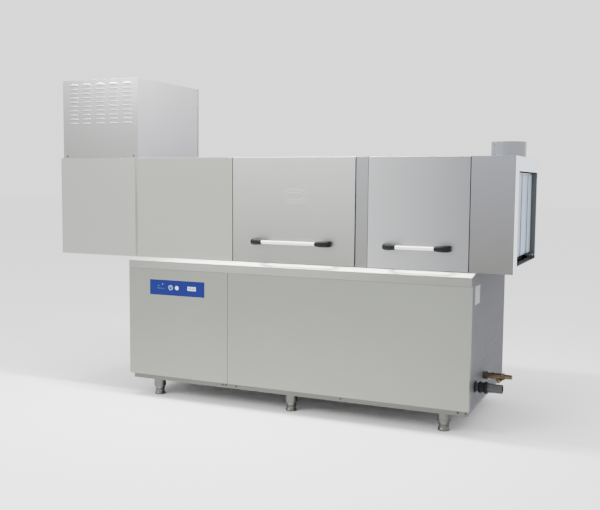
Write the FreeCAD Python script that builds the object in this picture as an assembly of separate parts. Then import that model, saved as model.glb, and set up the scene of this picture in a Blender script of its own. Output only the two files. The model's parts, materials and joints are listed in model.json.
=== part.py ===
import FreeCAD, Part
import math
import os

# Rack-conveyor (tunnel) dishwasher: undercounter cabinet, wash tunnel with two lift-up
# doors, loading vestibule on the right, dryer module with blower tower on the left.
# Millimetres.  +Z up, +X towards the loading end, -Y towards the operator.
# Origin: middle of the footprint, on the floor.

V = FreeCAD.Vector
AXIS = {"x": V(1, 0, 0), "y": V(0, 1, 0), "z": V(0, 0, 1)}

# ---------------------------------------------------------------- driving dimensions
CABINET_LENGTH = 1788.0
CABINET_DEPTH = 770.0
MODULE_LENGTH = 485.0
VESTIBULE_OVERHANG = 165.0
TOTAL_LENGTH = MODULE_LENGTH + CABINET_LENGTH + VESTIBULE_OVERHANG

X_EXIT = -TOTAL_LENGTH / 2
X_CABINET_LEFT = X_EXIT + MODULE_LENGTH
X_CABINET_RIGHT = X_CABINET_LEFT + CABINET_LENGTH
X_ENTRY = TOTAL_LENGTH / 2
Y_FRONT = -CABINET_DEPTH / 2
Y_BACK = CABINET_DEPTH / 2

TUNNEL_SETBACK = 63.0
TUNNEL_DEPTH = 609.0
Y_TUNNEL_FRONT = Y_FRONT + TUNNEL_SETBACK
Y_TUNNEL_BACK = Y_TUNNEL_FRONT + TUNNEL_DEPTH
FRONT_WALL_DEPTH = 72.0
Y_PASSAGE_FRONT = Y_TUNNEL_FRONT + FRONT_WALL_DEPTH
Y_PASSAGE_BACK = Y_TUNNEL_BACK - 17.0
Y_PASSAGE_MID = (Y_PASSAGE_FRONT + Y_PASSAGE_BACK) / 2

Z_FRAME = 88.0
Z_PANEL = 115.0
Z_LIP_BOTTOM = 668.0
Z_LIP_TOP = 708.0
Z_LEDGE = 720.0
Z_SILL = 752.0
Z_RACK = 775.0
Z_HEADER = 1172.0
Z_TOP = 1236.0
Z_TOWER = 1649.0

SHEET = 1.5
DECK = 2.0
GAP = 1.0
FRAME_INSET_X = 13.0
FRAME_INSET_Y = 21.0
EPS = 5.0

# Left edge, right edge of each front section of the tunnel
X_WASH_LEFT = X_CABINET_LEFT + 574.0
X_WASH_RIGHT = X_CABINET_LEFT + 1223.0
X_PREWASH_LEFT = X_CABINET_LEFT + 1282.0
X_PREWASH_RIGHT = X_CABINET_LEFT + 1759.0
X_PANEL_SPLIT = X_CABINET_LEFT + 582.0

DOOR_GAP = 3.0
DOOR_THICK = 26.0
DOOR_LIFT = 400.0
Z_DOOR_BOTTOM = Z_LEDGE + 4.0
Y_DOOR_BACK = Y_TUNNEL_FRONT + DOOR_THICK
WASH_DOOR = (X_WASH_LEFT + DOOR_GAP, X_WASH_RIGHT - DOOR_GAP)
PREWASH_DOOR = (X_PREWASH_LEFT + DOOR_GAP, X_PREWASH_RIGHT - DOOR_GAP)

GUIDE_WIDE = 26.0
GUIDE_DEEP = 20.0
GUIDE_EDGE = 20.0
Y_GUIDE_FRONT = Y_DOOR_BACK + 2.0
Y_GUIDE_BACK = Y_GUIDE_FRONT + GUIDE_DEEP
Z_GUIDE_TOP = 1192.0

PULLEY_R = 16.0
PULLEY_WIDE = 8.0
SHAFT_R = 5.0
FIT = 0.08
Y_SHAFT = Y_DOOR_BACK + 22.0
Z_SHAFT = 1212.0
CABLE_R = 1.25
Y_CABLE_DOOR = Y_SHAFT - PULLEY_R
Y_CABLE_WEIGHT = Y_SHAFT + PULLEY_R
WEIGHT_WIDE = 22.0
WEIGHT_LONG = 340.0
Z_WEIGHT_TOP = 1180.0
Y_WEIGHT = (Y_SHAFT - 8.0, Y_SHAFT + 20.0)
EAR_REACH = 9.0
WASH_CABLES = (X_WASH_LEFT - 15.0, X_WASH_RIGHT + 14.0)
PREWASH_CABLES = (X_PREWASH_LEFT - 15.0, X_PREWASH_RIGHT + 12.0)
Z_EAR = 745.0

HANDLE_Z = 826.0
HANDLE_R = 8.5
Y_HANDLE = Y_TUNNEL_FRONT - 45.0
BRACKET_LONG = 64.0
BRACKET_HIGH = 30.0
SOCKET_DEPTH = 20.0
WASH_HANDLE = (X_CABINET_LEFT + 692.0, X_CABINET_LEFT + 1106.0)
PREWASH_HANDLE = (X_CABINET_LEFT + 1366.0, X_CABINET_LEFT + 1679.0)

FEET_X = tuple(X_CABINET_LEFT + d for d in (137.0, 898.0, 1660.0))
PLINTH_SCREWS = tuple(X_CABINET_LEFT + d
                      for d in (543.0, 562.0, 620.0, 1177.0, 1735.0, 1771.0))
FEET_Y = (Y_FRONT + 75.0, Y_BACK - 75.0)
SLEEVE_R = 30.5
FOOT_R = 25.0
Z_SLEEVE = 45.0

VENT_R = 3.0
VENT_PITCH = 22.0
VENT_COLUMNS = 15
VENT_ROWS = 8
VENT_Y = Y_FRONT + 250.0
VENT_Z = 258.0

PANEL_X = (X_CABINET_LEFT + 128.0, X_CABINET_LEFT + 451.0)
PANEL_Z = (536.0, 614.0)
Z_KEYS = 576.0
KEY_RING_X = X_CABINET_LEFT + 251.0
KEY_ROUND_X = X_CABINET_LEFT + 289.0

COLLAR_R = 80.0
COLLAR_X = X_CABINET_LEFT + 1861.0
COLLAR_Y = Y_FRONT + 370.0
Z_COLLAR = 1309.0

TOWER_X = (X_CABINET_LEFT - 469.0, X_CABINET_LEFT + 14.0)
TOWER_Y = (Y_TUNNEL_FRONT + 3.0, Y_TUNNEL_BACK)
BLOWER_X = X_CABINET_LEFT - 235.0
BLOWER_Y = -10.0
BLOWER_Z = 1455.0
WHEEL_R = 105.0

MANIFOLD_WIDE = 70.0
MANIFOLD_DEEP = 18.0
ARM_WIDE = 36.0
ARM_HIGH = 16.0
ARM_WALL = 1.5
ARM_PORT_R = 6.0
ARM_LEVELS = (Z_LEDGE + 14.0, Z_HEADER + 22.0)
NOZZLES = 9
NOZZLE_PITCH = 50.0

LEVER_X = X_CABINET_LEFT + 114.0
LEVER_Y = Y_PASSAGE_MID + 50.0
LEVER_LONG = 260.0
Z_LEVER_PIN = 740.0
Z_LEVER_HUB = Z_LEVER_PIN - LEVER_LONG
LEVER_PIN_R = 8.0
LEVER_SWEEP = 98.0
PAWLS = tuple(-1020.0 + 408.0 * k for k in range(6))
CROSS_BARS = (-1150.0, -780.0, -270.0, 150.0, 518.5, 870.0, 1150.0)
PUMP_Z = 260.0
CARRIAGE_TRAVEL = 75.0
CARRIAGE_Z = (757.0, 769.0)

TANKS = ((X_WASH_LEFT + 12.0, X_WASH_RIGHT - 10.0),
         (X_PREWASH_LEFT + 10.0, X_PREWASH_RIGHT - 12.0))

TANK_DEPTH = 440.0

INLET_R = 13.0
INLET_Y = Y_FRONT + 305.0
INLET_Z = 220.0
DRAIN_R = 19.5
DRAIN_Y = Y_FRONT + 125.0
DRAIN_Z = 203.0

CURTAIN_X = (X_EXIT + 28.0, (X_WASH_RIGHT + X_PREWASH_LEFT) / 2, X_ENTRY - 28.0)
CURTAIN_BOTTOM = 781.0
Z_CURTAIN_ROD = 1164.0
CURTAIN_ROD_R = 5.0


# ---------------------------------------------------------------- helpers
def box(x0, x1, y0, y1, z0, z1):
    return Part.makeBox(x1 - x0, y1 - y0, z1 - z0, V(x0, y0, z0))


def rod(axis, r, x, y, z, length):
    """Solid cylinder starting at (x, y, z) and running along +axis."""
    return Part.makeCylinder(r, length, V(x, y, z), AXIS[axis])


def pipe(axis, r, wall, x, y, z, length):
    outer = rod(axis, r, x, y, z, length)
    start = V(x, y, z) - AXIS[axis] * EPS
    return outer.cut(rod(axis, r - wall, start.x, start.y, start.z, length + 2 * EPS))


def cone(axis, r0, r1, x, y, z, length):
    return Part.makeCone(r0, r1, length, V(x, y, z), AXIS[axis])


def fuse(shapes):
    shapes = list(shapes)
    whole = shapes[0]
    if len(shapes) > 1:
        whole = whole.multiFuse(shapes[1:])
    return whole.removeSplitter()


def group(shapes):
    return Part.makeCompound(list(shapes))


def profile_x(points, x0, x1):
    """Extrude a closed YZ outline from x0 to x1."""
    ring = [V(x0, y, z) for y, z in points]
    face = Part.Face(Part.makePolygon(ring + ring[:1]))
    return face.extrude(V(x1 - x0, 0, 0))


def profile_y(points, y0, y1):
    """Extrude a closed XZ outline from y0 to y1."""
    ring = [V(x, y0, z) for x, z in points]
    face = Part.Face(Part.makePolygon(ring + ring[:1]))
    return face.extrude(V(0, y1 - y0, 0))


def hexagon(axis, across, x, y, z, length):
    """Hexagonal bar, measured across the flats, along +axis."""
    r = across / math.sqrt(3)
    pts = []
    for k in range(6):
        a = math.radians(60 * k)
        if axis == "x":
            pts.append(V(x, y + r * math.cos(a), z + r * math.sin(a)))
        elif axis == "y":
            pts.append(V(x + r * math.cos(a), y, z + r * math.sin(a)))
        else:
            pts.append(V(x + r * math.cos(a), y + r * math.sin(a), z))
    return Part.Face(Part.makePolygon(pts + pts[:1])).extrude(AXIS[axis] * length)


def rounded_z(shape, radius):
    """Round the vertical edges of a box."""
    upright = [e for e in shape.Edges
               if abs(e.Vertexes[0].X - e.Vertexes[-1].X) < 0.01
               and abs(e.Vertexes[0].Y - e.Vertexes[-1].Y) < 0.01]
    return shape.makeFillet(radius, upright)


def open_tube_z(x0, x1, y0, y1, z0, z1, wall):
    inner = box(x0 + wall, x1 - wall, y0 + wall, y1 - wall, z0 - EPS, z1 + EPS)
    return box(x0, x1, y0, y1, z0, z1).cut(inner)


def front_pan(x0, x1, z0, z1, depth):
    """Bent sheet panel: face on the cabinet's front plane, four returns going back."""
    y0 = Y_FRONT
    inner = box(x0 + SHEET, x1 - SHEET, y0 + SHEET, y0 + depth + EPS, z0 + SHEET, z1 - SHEET)
    return box(x0, x1, y0, y0 + depth, z0, z1).cut(inner)


# ---------------------------------------------------------------- cabinet
def base_frame():
    """Welded channel ring, six leg sleeves, corner posts and an upper ring."""
    x0 = X_CABINET_LEFT + FRAME_INSET_X
    x1 = X_CABINET_RIGHT - FRAME_INSET_X
    y0 = Y_FRONT + FRAME_INSET_Y
    y1 = Y_BACK - FRAME_INSET_Y
    wall = 2.5
    flange = 28.0
    deep = 40.0
    ring = []
    for z0 in (Z_FRAME, Z_LIP_TOP - deep - 12.0):
        z1 = z0 + deep
        outer = box(x0, x1, y0, y1, z0, z1)
        web = outer.cut(box(x0 + wall, x1 - wall, y0 + wall, y1 - wall, z0 - EPS, z1 + EPS))
        hole = box(x0 + flange, x1 - flange, y0 + flange, y1 - flange, z0 - EPS, z1 + EPS)
        plate = box(x0, x1, y0, y1, z0, z0 + wall).cut(hole)
        lid = box(x0, x1, y0, y1, z1 - wall, z1).cut(hole)
        ring.append(fuse([web, plate, lid]))
    z_low = Z_FRAME + deep
    z_high = Z_LIP_TOP - deep - 12.0
    post = 30.0
    posts = []
    for x in (x0 + post / 2, X_PANEL_SPLIT, x1 - post / 2):
        for y in (y0 + post / 2, y1 - post / 2):
            posts.append(open_tube_z(x - post / 2, x + post / 2, y - post / 2, y + post / 2,
                                     z_low, z_high, wall))
    sleeves = []
    pad = 40.0
    for x in FEET_X:
        for y in FEET_Y:
            sleeve = rod("z", SLEEVE_R, x, y, Z_SLEEVE, Z_FRAME - Z_SLEEVE)
            bore = rod("z", FOOT_R + FIT, x, y, Z_SLEEVE - EPS, Z_FRAME - Z_SLEEVE)
            sleeves.append(sleeve.cut(bore))
            sleeves.append(box(x - pad, x + pad, y - pad, y + pad, Z_FRAME - 1.0, Z_FRAME + 4.0))
    cross = []
    for x in FEET_X:
        cross.append(box(x - 20.0, x + 20.0, y0 + wall, y1 - wall, Z_FRAME, Z_FRAME + 3.0))
    for y in (Y_PASSAGE_MID - 60.0, Y_PASSAGE_MID + 175.0):
        cross.append(box(x0 + wall, x1 - wall, y - 20.0, y + 20.0, Z_FRAME, Z_FRAME + 3.0))
    passes = [weight_box(x, Z_FRAME + deep + EPS, Z_LEDGE, 4.0) for x in cable_places()]
    passes.append(box(LEVER_X - LEVER_SWEEP, LEVER_X + LEVER_SWEEP, LEVER_Y - 22.0,
                      LEVER_Y + 22.0, Z_LIP_BOTTOM - 20.0, Z_LEDGE))
    return fuse(ring + posts + sleeves + cross).cut(group(passes))


def levelling_feet():
    """Six bullet feet, fully screwed in."""
    feet = []
    base = 27.5
    for x in FEET_X:
        for y in FEET_Y:
            pad = cone("z", base - 1.5, base, x, y, 0.0, 3.0)
            rim = rod("z", base, x, y, 3.0, 5.0)
            flare = cone("z", base, FOOT_R - 2.0, x, y, 8.0, 8.0)
            waist = rod("z", FOOT_R - 2.0, x, y, 16.0, 12.0)
            stem = rod("z", FOOT_R, x, y, 28.0, Z_FRAME - 28.0 - EPS - 1.0)
            feet.append(fuse([pad, rim, flare, waist, stem]))
    return group(feet)


def front_panel_left():
    pan = front_pan(X_CABINET_LEFT, X_PANEL_SPLIT - GAP, Z_PANEL, Z_LIP_BOTTOM - GAP,
                    FRAME_INSET_Y)
    window = box(PANEL_X[0], PANEL_X[1], Y_FRONT - EPS, Y_FRONT + SHEET + EPS,
                 PANEL_Z[0], PANEL_Z[1])
    return pan.cut(window)


def front_panel_right():
    return front_pan(X_PANEL_SPLIT + GAP, X_CABINET_RIGHT, Z_PANEL, Z_LIP_BOTTOM - GAP,
                     FRAME_INSET_Y)


def side_outline():
    """YZ outline of a cabinet side, under the sloping ledge."""
    y0 = Y_FRONT + SHEET + 0.5
    drop = SHEET + 1.0
    return [(y0, Z_PANEL), (Y_BACK, Z_PANEL), (Y_BACK, Z_LEDGE - SHEET),
            (Y_TUNNEL_FRONT, Z_LEDGE - drop), (y0, Z_LIP_TOP - drop)]


def side_panel(x0, x1):
    front_return = FRAME_INSET_Y + 0.5
    skin = profile_x(side_outline(), x0, x1)
    return skin.cut(box(x0 - EPS, x1 + EPS, Y_FRONT - EPS, Y_FRONT + front_return,
                        Z_PANEL - EPS, Z_LIP_BOTTOM + SHEET + 0.3))


def side_panel_right():
    """Right side with a field of vent holes and the openings for inlet and drain."""
    side = side_panel(X_CABINET_RIGHT - SHEET, X_CABINET_RIGHT)
    x = X_CABINET_RIGHT - 2 * EPS
    through = 4 * EPS
    cuts = []
    for col in range(VENT_COLUMNS):
        for row in range(VENT_ROWS):
            y = VENT_Y + (col + 0.5 * (row % 2)) * VENT_PITCH
            z = VENT_Z + row * VENT_PITCH * 0.75
            cuts.append(rod("x", VENT_R, x, y, z, through))
    cuts.append(rod("x", INLET_R + 3.0, x, INLET_Y, INLET_Z, through))
    cuts.append(rod("x", DRAIN_R + 2.0, x, DRAIN_Y, DRAIN_Z, through))
    for dy, z in ((121.0, 164.0), (244.0, 141.0)):
        cuts.append(rod("x", 4.0, x, Y_FRONT + dy, z, through))
    return side.cut(group(cuts))


def side_panel_left():
    return side_panel(X_CABINET_LEFT, X_CABINET_LEFT + SHEET)


def rear_panel():
    x0 = X_CABINET_LEFT + SHEET + GAP
    x1 = X_CABINET_RIGHT - SHEET - GAP
    skin = box(x0, x1, Y_BACK - SHEET, Y_BACK, Z_PANEL, Z_LEDGE - 2 * SHEET)
    cuts = []
    for col in range(10):
        for row in range(6):
            x = x0 + 1180.0 + col * 44.0
            z = 180.0 + row * 20.0
            cuts.append(box(x, x + 26.0, Y_BACK - EPS, Y_BACK + EPS, z, z + 4.0))
    return skin.cut(group(cuts))


def drip_ledge():
    """Drip lip, sloping ledge in front of the tunnel, flat strip behind it."""
    t = SHEET
    y0 = Y_FRONT
    y1 = Y_TUNNEL_FRONT
    lip = [(y0, Z_LIP_BOTTOM), (y0 + 18.0, Z_LIP_BOTTOM), (y0 + 18.0, Z_LIP_BOTTOM + t),
           (y0 + t, Z_LIP_BOTTOM + t), (y0 + t, Z_LIP_TOP - t), (y1, Z_LEDGE - t),
           (y1 + 12.0, Z_LEDGE - t), (y1 + 12.0, Z_LEDGE), (y1, Z_LEDGE), (y0, Z_LIP_TOP)]
    front = profile_x(lip, X_CABINET_LEFT, X_CABINET_RIGHT)
    rear = box(X_CABINET_LEFT, X_CABINET_RIGHT, Y_TUNNEL_BACK - 12.0, Y_BACK,
               Z_LEDGE - t, Z_LEDGE)
    bridge = [box(x, x + 30.0, y1, Y_TUNNEL_BACK, Z_LEDGE - t, Z_LEDGE)
              for x in (X_CABINET_LEFT, X_CABINET_RIGHT - 30.0)]
    passes = [weight_box(x, Z_LEDGE - EPS, Z_LEDGE + EPS, 4.0) for x in cable_places()]
    return fuse([front, rear] + bridge).cut(group(passes))


def control_panel():
    """Membrane plate with a shallow tray behind it; two keys pass through it."""
    y0 = Y_FRONT + 0.6
    plate = box(PANEL_X[0] + 0.4, PANEL_X[1] - 0.4, y0, y0 + 3.0,
                PANEL_Z[0] + 0.4, PANEL_Z[1] - 0.4)
    tray = box(PANEL_X[0] - 8.0, PANEL_X[1] + 8.0, Y_FRONT + SHEET, Y_FRONT + 18.0,
               PANEL_Z[0] - 8.0, PANEL_Z[1] + 8.0)
    hollow = box(PANEL_X[0] + 6.0, PANEL_X[1] - 6.0, y0 + 3.0, Y_FRONT + 18.0 + EPS,
                 PANEL_Z[0] + 6.0, PANEL_Z[1] - 6.0)
    body = fuse([plate, tray.cut(hollow)])
    for x, r in ((KEY_RING_X, 13.0), (KEY_ROUND_X, 10.0)):
        body = body.cut(rod("y", r + 0.35, x, Y_FRONT - EPS, Z_KEYS, 30.0))
        body = body.cut(rod("y", r + 2.4, x, y0 + 3.0, Z_KEYS, 30.0))
    return body


def key(x, r):
    """Round key: cap in the plate, wider collar behind it."""
    y0 = Y_FRONT + 0.2
    cap = rod("y", r, x, y0, Z_KEYS, 4.2)
    collar = rod("y", r + 1.8, x, y0 + 4.2, Z_KEYS, 2.0)
    return fuse([cap, collar])


def electrical_box():
    x0, x1 = X_CABINET_LEFT + 60.0, X_CABINET_LEFT + 380.0
    y0, y1 = Y_FRONT + 40.0, Y_FRONT + 190.0
    z0, z1 = 210.0, 520.0
    shell = box(x0, x1, y0, y1, z0, z1).cut(
        box(x0 + SHEET, x1 - SHEET, y0 + SHEET, y1 - SHEET, z0 + SHEET, z1 + EPS))
    lid = box(x0, x1, y0, y1, z1, z1 + SHEET)
    foot = box(x0 + 20.0, x1 - 20.0, y0 + 60.0, y0 + 62.0, Z_FRAME + 4.0, z0)
    return fuse([shell, lid, foot])


def panel_screws():
    """Domed screws along the plinth, and the tower's two front screws."""
    screws = []
    for x in PLINTH_SCREWS:
        y = Y_FRONT + FRAME_INSET_Y
        screws.append(fuse([rod("y", 5.0, x, y - 1.6, 101.0, 1.6),
                            cone("y", 3.0, 5.0, x, y - 3.0, 101.0, 1.4)]))
    for x in (TOWER_X[0] + 26.0, TOWER_X[1] - 26.0):
        y = TOWER_Y[0]
        screws.append(fuse([rod("y", 4.5, x, y - 1.2, Z_TOP + 10.0, 1.2),
                            cone("y", 2.6, 4.5, x, y - 2.4, Z_TOP + 10.0, 1.2)]))
    return group(screws)


# ---------------------------------------------------------------- tunnel
def cable_places():
    return WASH_CABLES + PREWASH_CABLES


def weight_box(x, z0, z1, extra=0.0):
    half = WEIGHT_WIDE / 2 + extra
    return box(x - half, x + half, Y_WEIGHT[0] - extra, Y_WEIGHT[1] + extra, z0, z1)


def tank_body():
    """Tunnel floor with the wash and prewash tanks hanging from it, one welded tub."""
    deck = box(X_CABINET_LEFT + 0.5, X_CABINET_RIGHT, Y_TUNNEL_FRONT + SHEET,
               Y_TUNNEL_BACK - SHEET - 0.5, Z_LEDGE, Z_LEDGE + DECK)
    parts = [deck]
    floor_z = 440.0
    y0 = Y_PASSAGE_MID - TANK_DEPTH / 2
    y1 = Y_PASSAGE_MID + TANK_DEPTH / 2
    mouths = []
    for x0, x1 in TANKS:
        outer = rounded_z(box(x0, x1, y0, y1, floor_z, Z_LEDGE + DECK), 30.0)
        inner = rounded_z(box(x0 + DECK, x1 - DECK, y0 + DECK, y1 - DECK,
                              floor_z + DECK, Z_LEDGE + DECK + EPS), 28.0)
        parts.append(outer)
        mouths.append(inner)
    tub = fuse(parts).cut(group(mouths))
    cuts = [weight_box(x, Z_LEDGE - EPS, Z_LEDGE + 2 * EPS, 2.0) for x in cable_places()]
    cuts.append(box(LEVER_X - LEVER_SWEEP, LEVER_X + LEVER_SWEEP, LEVER_Y - 22.0, LEVER_Y + 22.0,
                    Z_LEDGE - EPS, Z_LEDGE + 2 * EPS))
    tub = tub.cut(group(cuts))
    overflow = []
    for x0, x1 in TANKS:
        x = x1 - 60.0
        y = y0 + 60.0
        tower = pipe("z", 24.0, 1.5, x, y, floor_z + DECK - 0.5, 235.0)
        outlet = pipe("z", 20.0, 1.5, x, y, floor_z - 40.0, 40.0 + DECK)
        overflow += [tower, outlet]
    return fuse([tub] + overflow + weight_chutes())


def tunnel_back_wall():
    x0 = X_CABINET_LEFT + 0.5
    x1 = X_PREWASH_RIGHT - 0.5
    skin = box(x0, x1, Y_TUNNEL_BACK - SHEET, Y_TUNNEL_BACK, Z_LEDGE, Z_TOP - SHEET)
    ribs = [box(x, x + SHEET, Y_TUNNEL_BACK - 16.0, Y_TUNNEL_BACK, Z_LEDGE + DECK,
                Z_TOP - SHEET) for x in (x0, X_WASH_LEFT - 160.0, x1 - SHEET)]
    return fuse([skin] + ribs)


def tunnel_roof():
    """Roof sheet, set back behind the rising doors, with hanging baffles between zones."""
    x0 = X_CABINET_LEFT + 0.5
    x1 = X_PREWASH_RIGHT - 0.5
    z0 = Z_TOP - SHEET
    over_doors = box(X_WASH_LEFT, x1, Y_GUIDE_FRONT, Y_TUNNEL_BACK, z0, Z_TOP)
    over_panel = box(x0, X_WASH_LEFT, Y_TUNNEL_FRONT, Y_TUNNEL_BACK, z0, Z_TOP)
    over_pillar = box(X_WASH_RIGHT + 0.5, X_PREWASH_LEFT - 0.5, Y_TUNNEL_FRONT + 6.0,
                      Y_GUIDE_FRONT, z0, Z_TOP)
    lip = [box(a, b, Y_GUIDE_FRONT, Y_GUIDE_FRONT + SHEET, Z_TOP - 8.0, z0)
           for a, b in (WASH_DOOR, PREWASH_DOOR)]
    baffles = []
    for x in (CURTAIN_X[1], X_WASH_LEFT - 40.0):
        baffles.append(box(x - SHEET / 2, x + SHEET / 2, Y_PASSAGE_FRONT + 1.0,
                           Y_TUNNEL_BACK - 26.0, Z_HEADER + 8.0, z0))
    hooks = curtain_hooks(CURTAIN_X[1], Z_HEADER + 8.0)
    return fuse([over_doors, over_panel, over_pillar] + lip + baffles + hooks)


def curtain_hooks(x, z_top):
    """Two plates with holes that carry a curtain rod."""
    hooks = []
    for y in (Y_PASSAGE_FRONT + 1.0, Y_PASSAGE_BACK - 9.0):
        plate = box(x - 9.0, x + 9.0, y, y + 3.0, Z_CURTAIN_ROD - 9.0, z_top + 2.0)
        hole = rod("y", CURTAIN_ROD_R + FIT, x, y - EPS, Z_CURTAIN_ROD, 3.0 + 2 * EPS)
        hooks.append(plate.cut(hole))
    return hooks


def hollow_wall(x0, x1, z0, z1):
    """Double-skinned front wall, open underneath."""
    y0 = Y_TUNNEL_FRONT
    y1 = Y_PASSAGE_FRONT
    inner = box(x0 + SHEET, x1 - SHEET, y0 + SHEET, y1 - SHEET, z0 - EPS, z1 - SHEET)
    return box(x0, x1, y0, y1, z0, z1).cut(inner)


def side_slot(x, z0, z1):
    """Tall slot in a wall's side where a door's lifting ear passes."""
    return box(x - 2 * EPS, x + 2 * EPS, Y_TUNNEL_FRONT + 20.0, Y_PASSAGE_FRONT - SHEET, z0, z1)


def tunnel_front_panel():
    wall = hollow_wall(X_CABINET_LEFT + 0.5, X_WASH_LEFT - 0.5, Z_LEDGE + DECK, Z_TOP - SHEET)
    return wall.cut(side_slot(X_WASH_LEFT, Z_LEDGE, Z_TOP - 2 * SHEET))


def door_posts(x0, x1):
    """Two hollow posts behind the guides of one door."""
    posts = []
    for x in guide_edges(x0, x1):
        posts.append(open_tube_z(x, x + GUIDE_WIDE, Y_GUIDE_BACK, Y_PASSAGE_FRONT - 2.0,
                                 Z_LEDGE + DECK, Z_GUIDE_TOP, SHEET))
    return posts


def guide_edges(x0, x1):
    return (x0 + 7.0, x1 - 7.0 - GUIDE_WIDE)


def tunnel_frame():
    """Door surrounds: inner wall with two openings, posts and shaft bearing plates."""
    x0 = X_WASH_LEFT - 0.4
    x1 = X_PREWASH_RIGHT + 0.4
    inner = box(x0, x1, Y_PASSAGE_FRONT - 2.0, Y_PASSAGE_FRONT, Z_LEDGE + DECK, Z_TOP - SHEET)
    parts = []
    for a, b in (WASH_DOOR, PREWASH_DOOR):
        ga, gb = guide_edges(a, b)
        left = ga + GUIDE_WIDE + 2.0
        right = gb - 2.0
        inner = inner.cut(box(left, right, Y_PASSAGE_FRONT - EPS, Y_PASSAGE_FRONT + EPS,
                              Z_SILL, Z_HEADER + 18.0))
        sill = box(left - 2.0, right + 2.0, Y_GUIDE_FRONT + 6.0, Y_PASSAGE_FRONT - 2.0,
                   Z_SILL - SHEET, Z_SILL)
        head = box(left - 2.0, right + 2.0, Y_GUIDE_FRONT + 6.0, Y_PASSAGE_FRONT - 2.0,
                   Z_HEADER + 18.0, Z_HEADER + 18.0 + SHEET)
        riser = box(left - 2.0, right + 2.0, Y_GUIDE_FRONT + 6.0, Y_GUIDE_FRONT + 6.0 + SHEET,
                    Z_LEDGE + DECK, Z_SILL)
        parts += [sill, head, riser] + door_posts(a, b)
    for x in shaft_plates():
        plate = box(x, x + 4.0, Y_GUIDE_FRONT + 3.0, Y_PASSAGE_FRONT - 2.0,
                    Z_SHAFT - 14.0, Z_TOP - SHEET - 2.0)
        parts.append(plate.cut(rod("x", SHAFT_R + FIT, x - EPS, Y_SHAFT, Z_SHAFT, 14.0)))
    left_ear = box(WASH_CABLES[0] - 14.0, x0 + 1.0, Y_PASSAGE_FRONT - 4.0,
                   Y_PASSAGE_FRONT - 2.0, Z_SHAFT - 14.0, Z_TOP - SHEET - 2.0)
    right_ear = box(x1 - 1.0, PREWASH_CABLES[1] + 14.0, Y_PASSAGE_FRONT - 4.0,
                    Y_PASSAGE_FRONT - 2.0, Z_SHAFT - 14.0, Z_TOP - SHEET - 2.0)
    frame = fuse([inner] + parts + [left_ear, right_ear])
    return frame


def shaft_plates():
    """Left face of each bearing plate, outboard of its pulley."""
    off = PULLEY_WIDE / 2 + 2.0
    return (WASH_CABLES[0] - off - 4.0, WASH_CABLES[1] + off,
            PREWASH_CABLES[0] - off - 4.0, PREWASH_CABLES[1] + off)


def weight_chutes():
    """Four sheet tubes below the deck that catch the falling counterweights."""
    chutes = []
    z0 = Z_WEIGHT_TOP - WEIGHT_LONG - DOOR_LIFT - 20.0
    for x in cable_places():
        outer = weight_box(x, z0, Z_LEDGE + DECK, 3.0)
        inner = weight_box(x, z0 + SHEET, Z_LEDGE + EPS, 2.0)
        chutes.append(outer.cut(inner))
    return chutes


def door_guides():
    """Four lipped channels that hold the doors' shoes."""
    t = 2.0
    guides = []
    for a, b in (WASH_DOOR, PREWASH_DOOR):
        for x in guide_edges(a, b):
            outer = box(x, x + GUIDE_WIDE, Y_GUIDE_FRONT, Y_GUIDE_BACK,
                        Z_LEDGE + DECK, Z_GUIDE_TOP)
            hollow = box(x + t, x + GUIDE_WIDE - t, Y_GUIDE_FRONT + t, Y_GUIDE_BACK - t,
                         Z_LEDGE, Z_GUIDE_TOP + EPS)
            mid = x + GUIDE_WIDE / 2
            slot = box(mid - 6.0, mid + 6.0, Y_GUIDE_FRONT - EPS, Y_GUIDE_FRONT + t + 1.0,
                       Z_LEDGE, Z_GUIDE_TOP + EPS)
            guides.append(outer.cut(group([hollow, slot])))
    return group(guides)


def centre_pillar():
    """Recessed cover strip between the two doors."""
    x0 = X_WASH_RIGHT + 0.5
    x1 = X_PREWASH_LEFT - 0.5
    y0 = Y_TUNNEL_FRONT + 6.0
    strip = box(x0, x1, y0, Y_DOOR_BACK - 4.0, Z_LEDGE + DECK, Z_TOP - SHEET)
    return strip.cut(box(x0 + SHEET, x1 - SHEET, y0 + SHEET, Y_DOOR_BACK, Z_LEDGE, Z_TOP))


def vestibule_shell():
    """Loading end: hollow front wall, back, floor, roof with the exhaust hole."""
    x0 = X_PREWASH_RIGHT + 0.5
    x1 = X_ENTRY - 2.0
    z0 = Z_LEDGE + 3.0
    front = hollow_wall(x0, x1, z0, Z_TOP)
    front = front.cut(side_slot(x0, z0 - EPS, Z_TOP - 2 * SHEET))
    passes = weight_box(PREWASH_CABLES[1], z0 - EPS, Z_TOP - 2 * SHEET, 2.0)
    front = front.cut(passes)
    back = box(x0, x1, Y_TUNNEL_BACK - SHEET, Y_TUNNEL_BACK, z0, Z_TOP)
    roof = box(x0, x1, Y_TUNNEL_FRONT, Y_TUNNEL_BACK, Z_TOP - SHEET, Z_TOP)
    roof = roof.cut(rod("z", COLLAR_R - SHEET, COLLAR_X, COLLAR_Y, Z_TOP - EPS, 2 * EPS))
    floor = box(X_CABINET_RIGHT + 0.5, x1, Y_TUNNEL_FRONT, Y_TUNNEL_BACK, z0, z0 + SHEET)
    return fuse([front, back, roof, floor])


def entry_frame():
    """Bright end plate: header, two jambs, sill, with returns and curtain hooks."""
    return end_frame(X_ENTRY - 2.0, X_ENTRY, X_ENTRY - 40.0, X_ENTRY - 2.0, CURTAIN_X[2])


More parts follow.
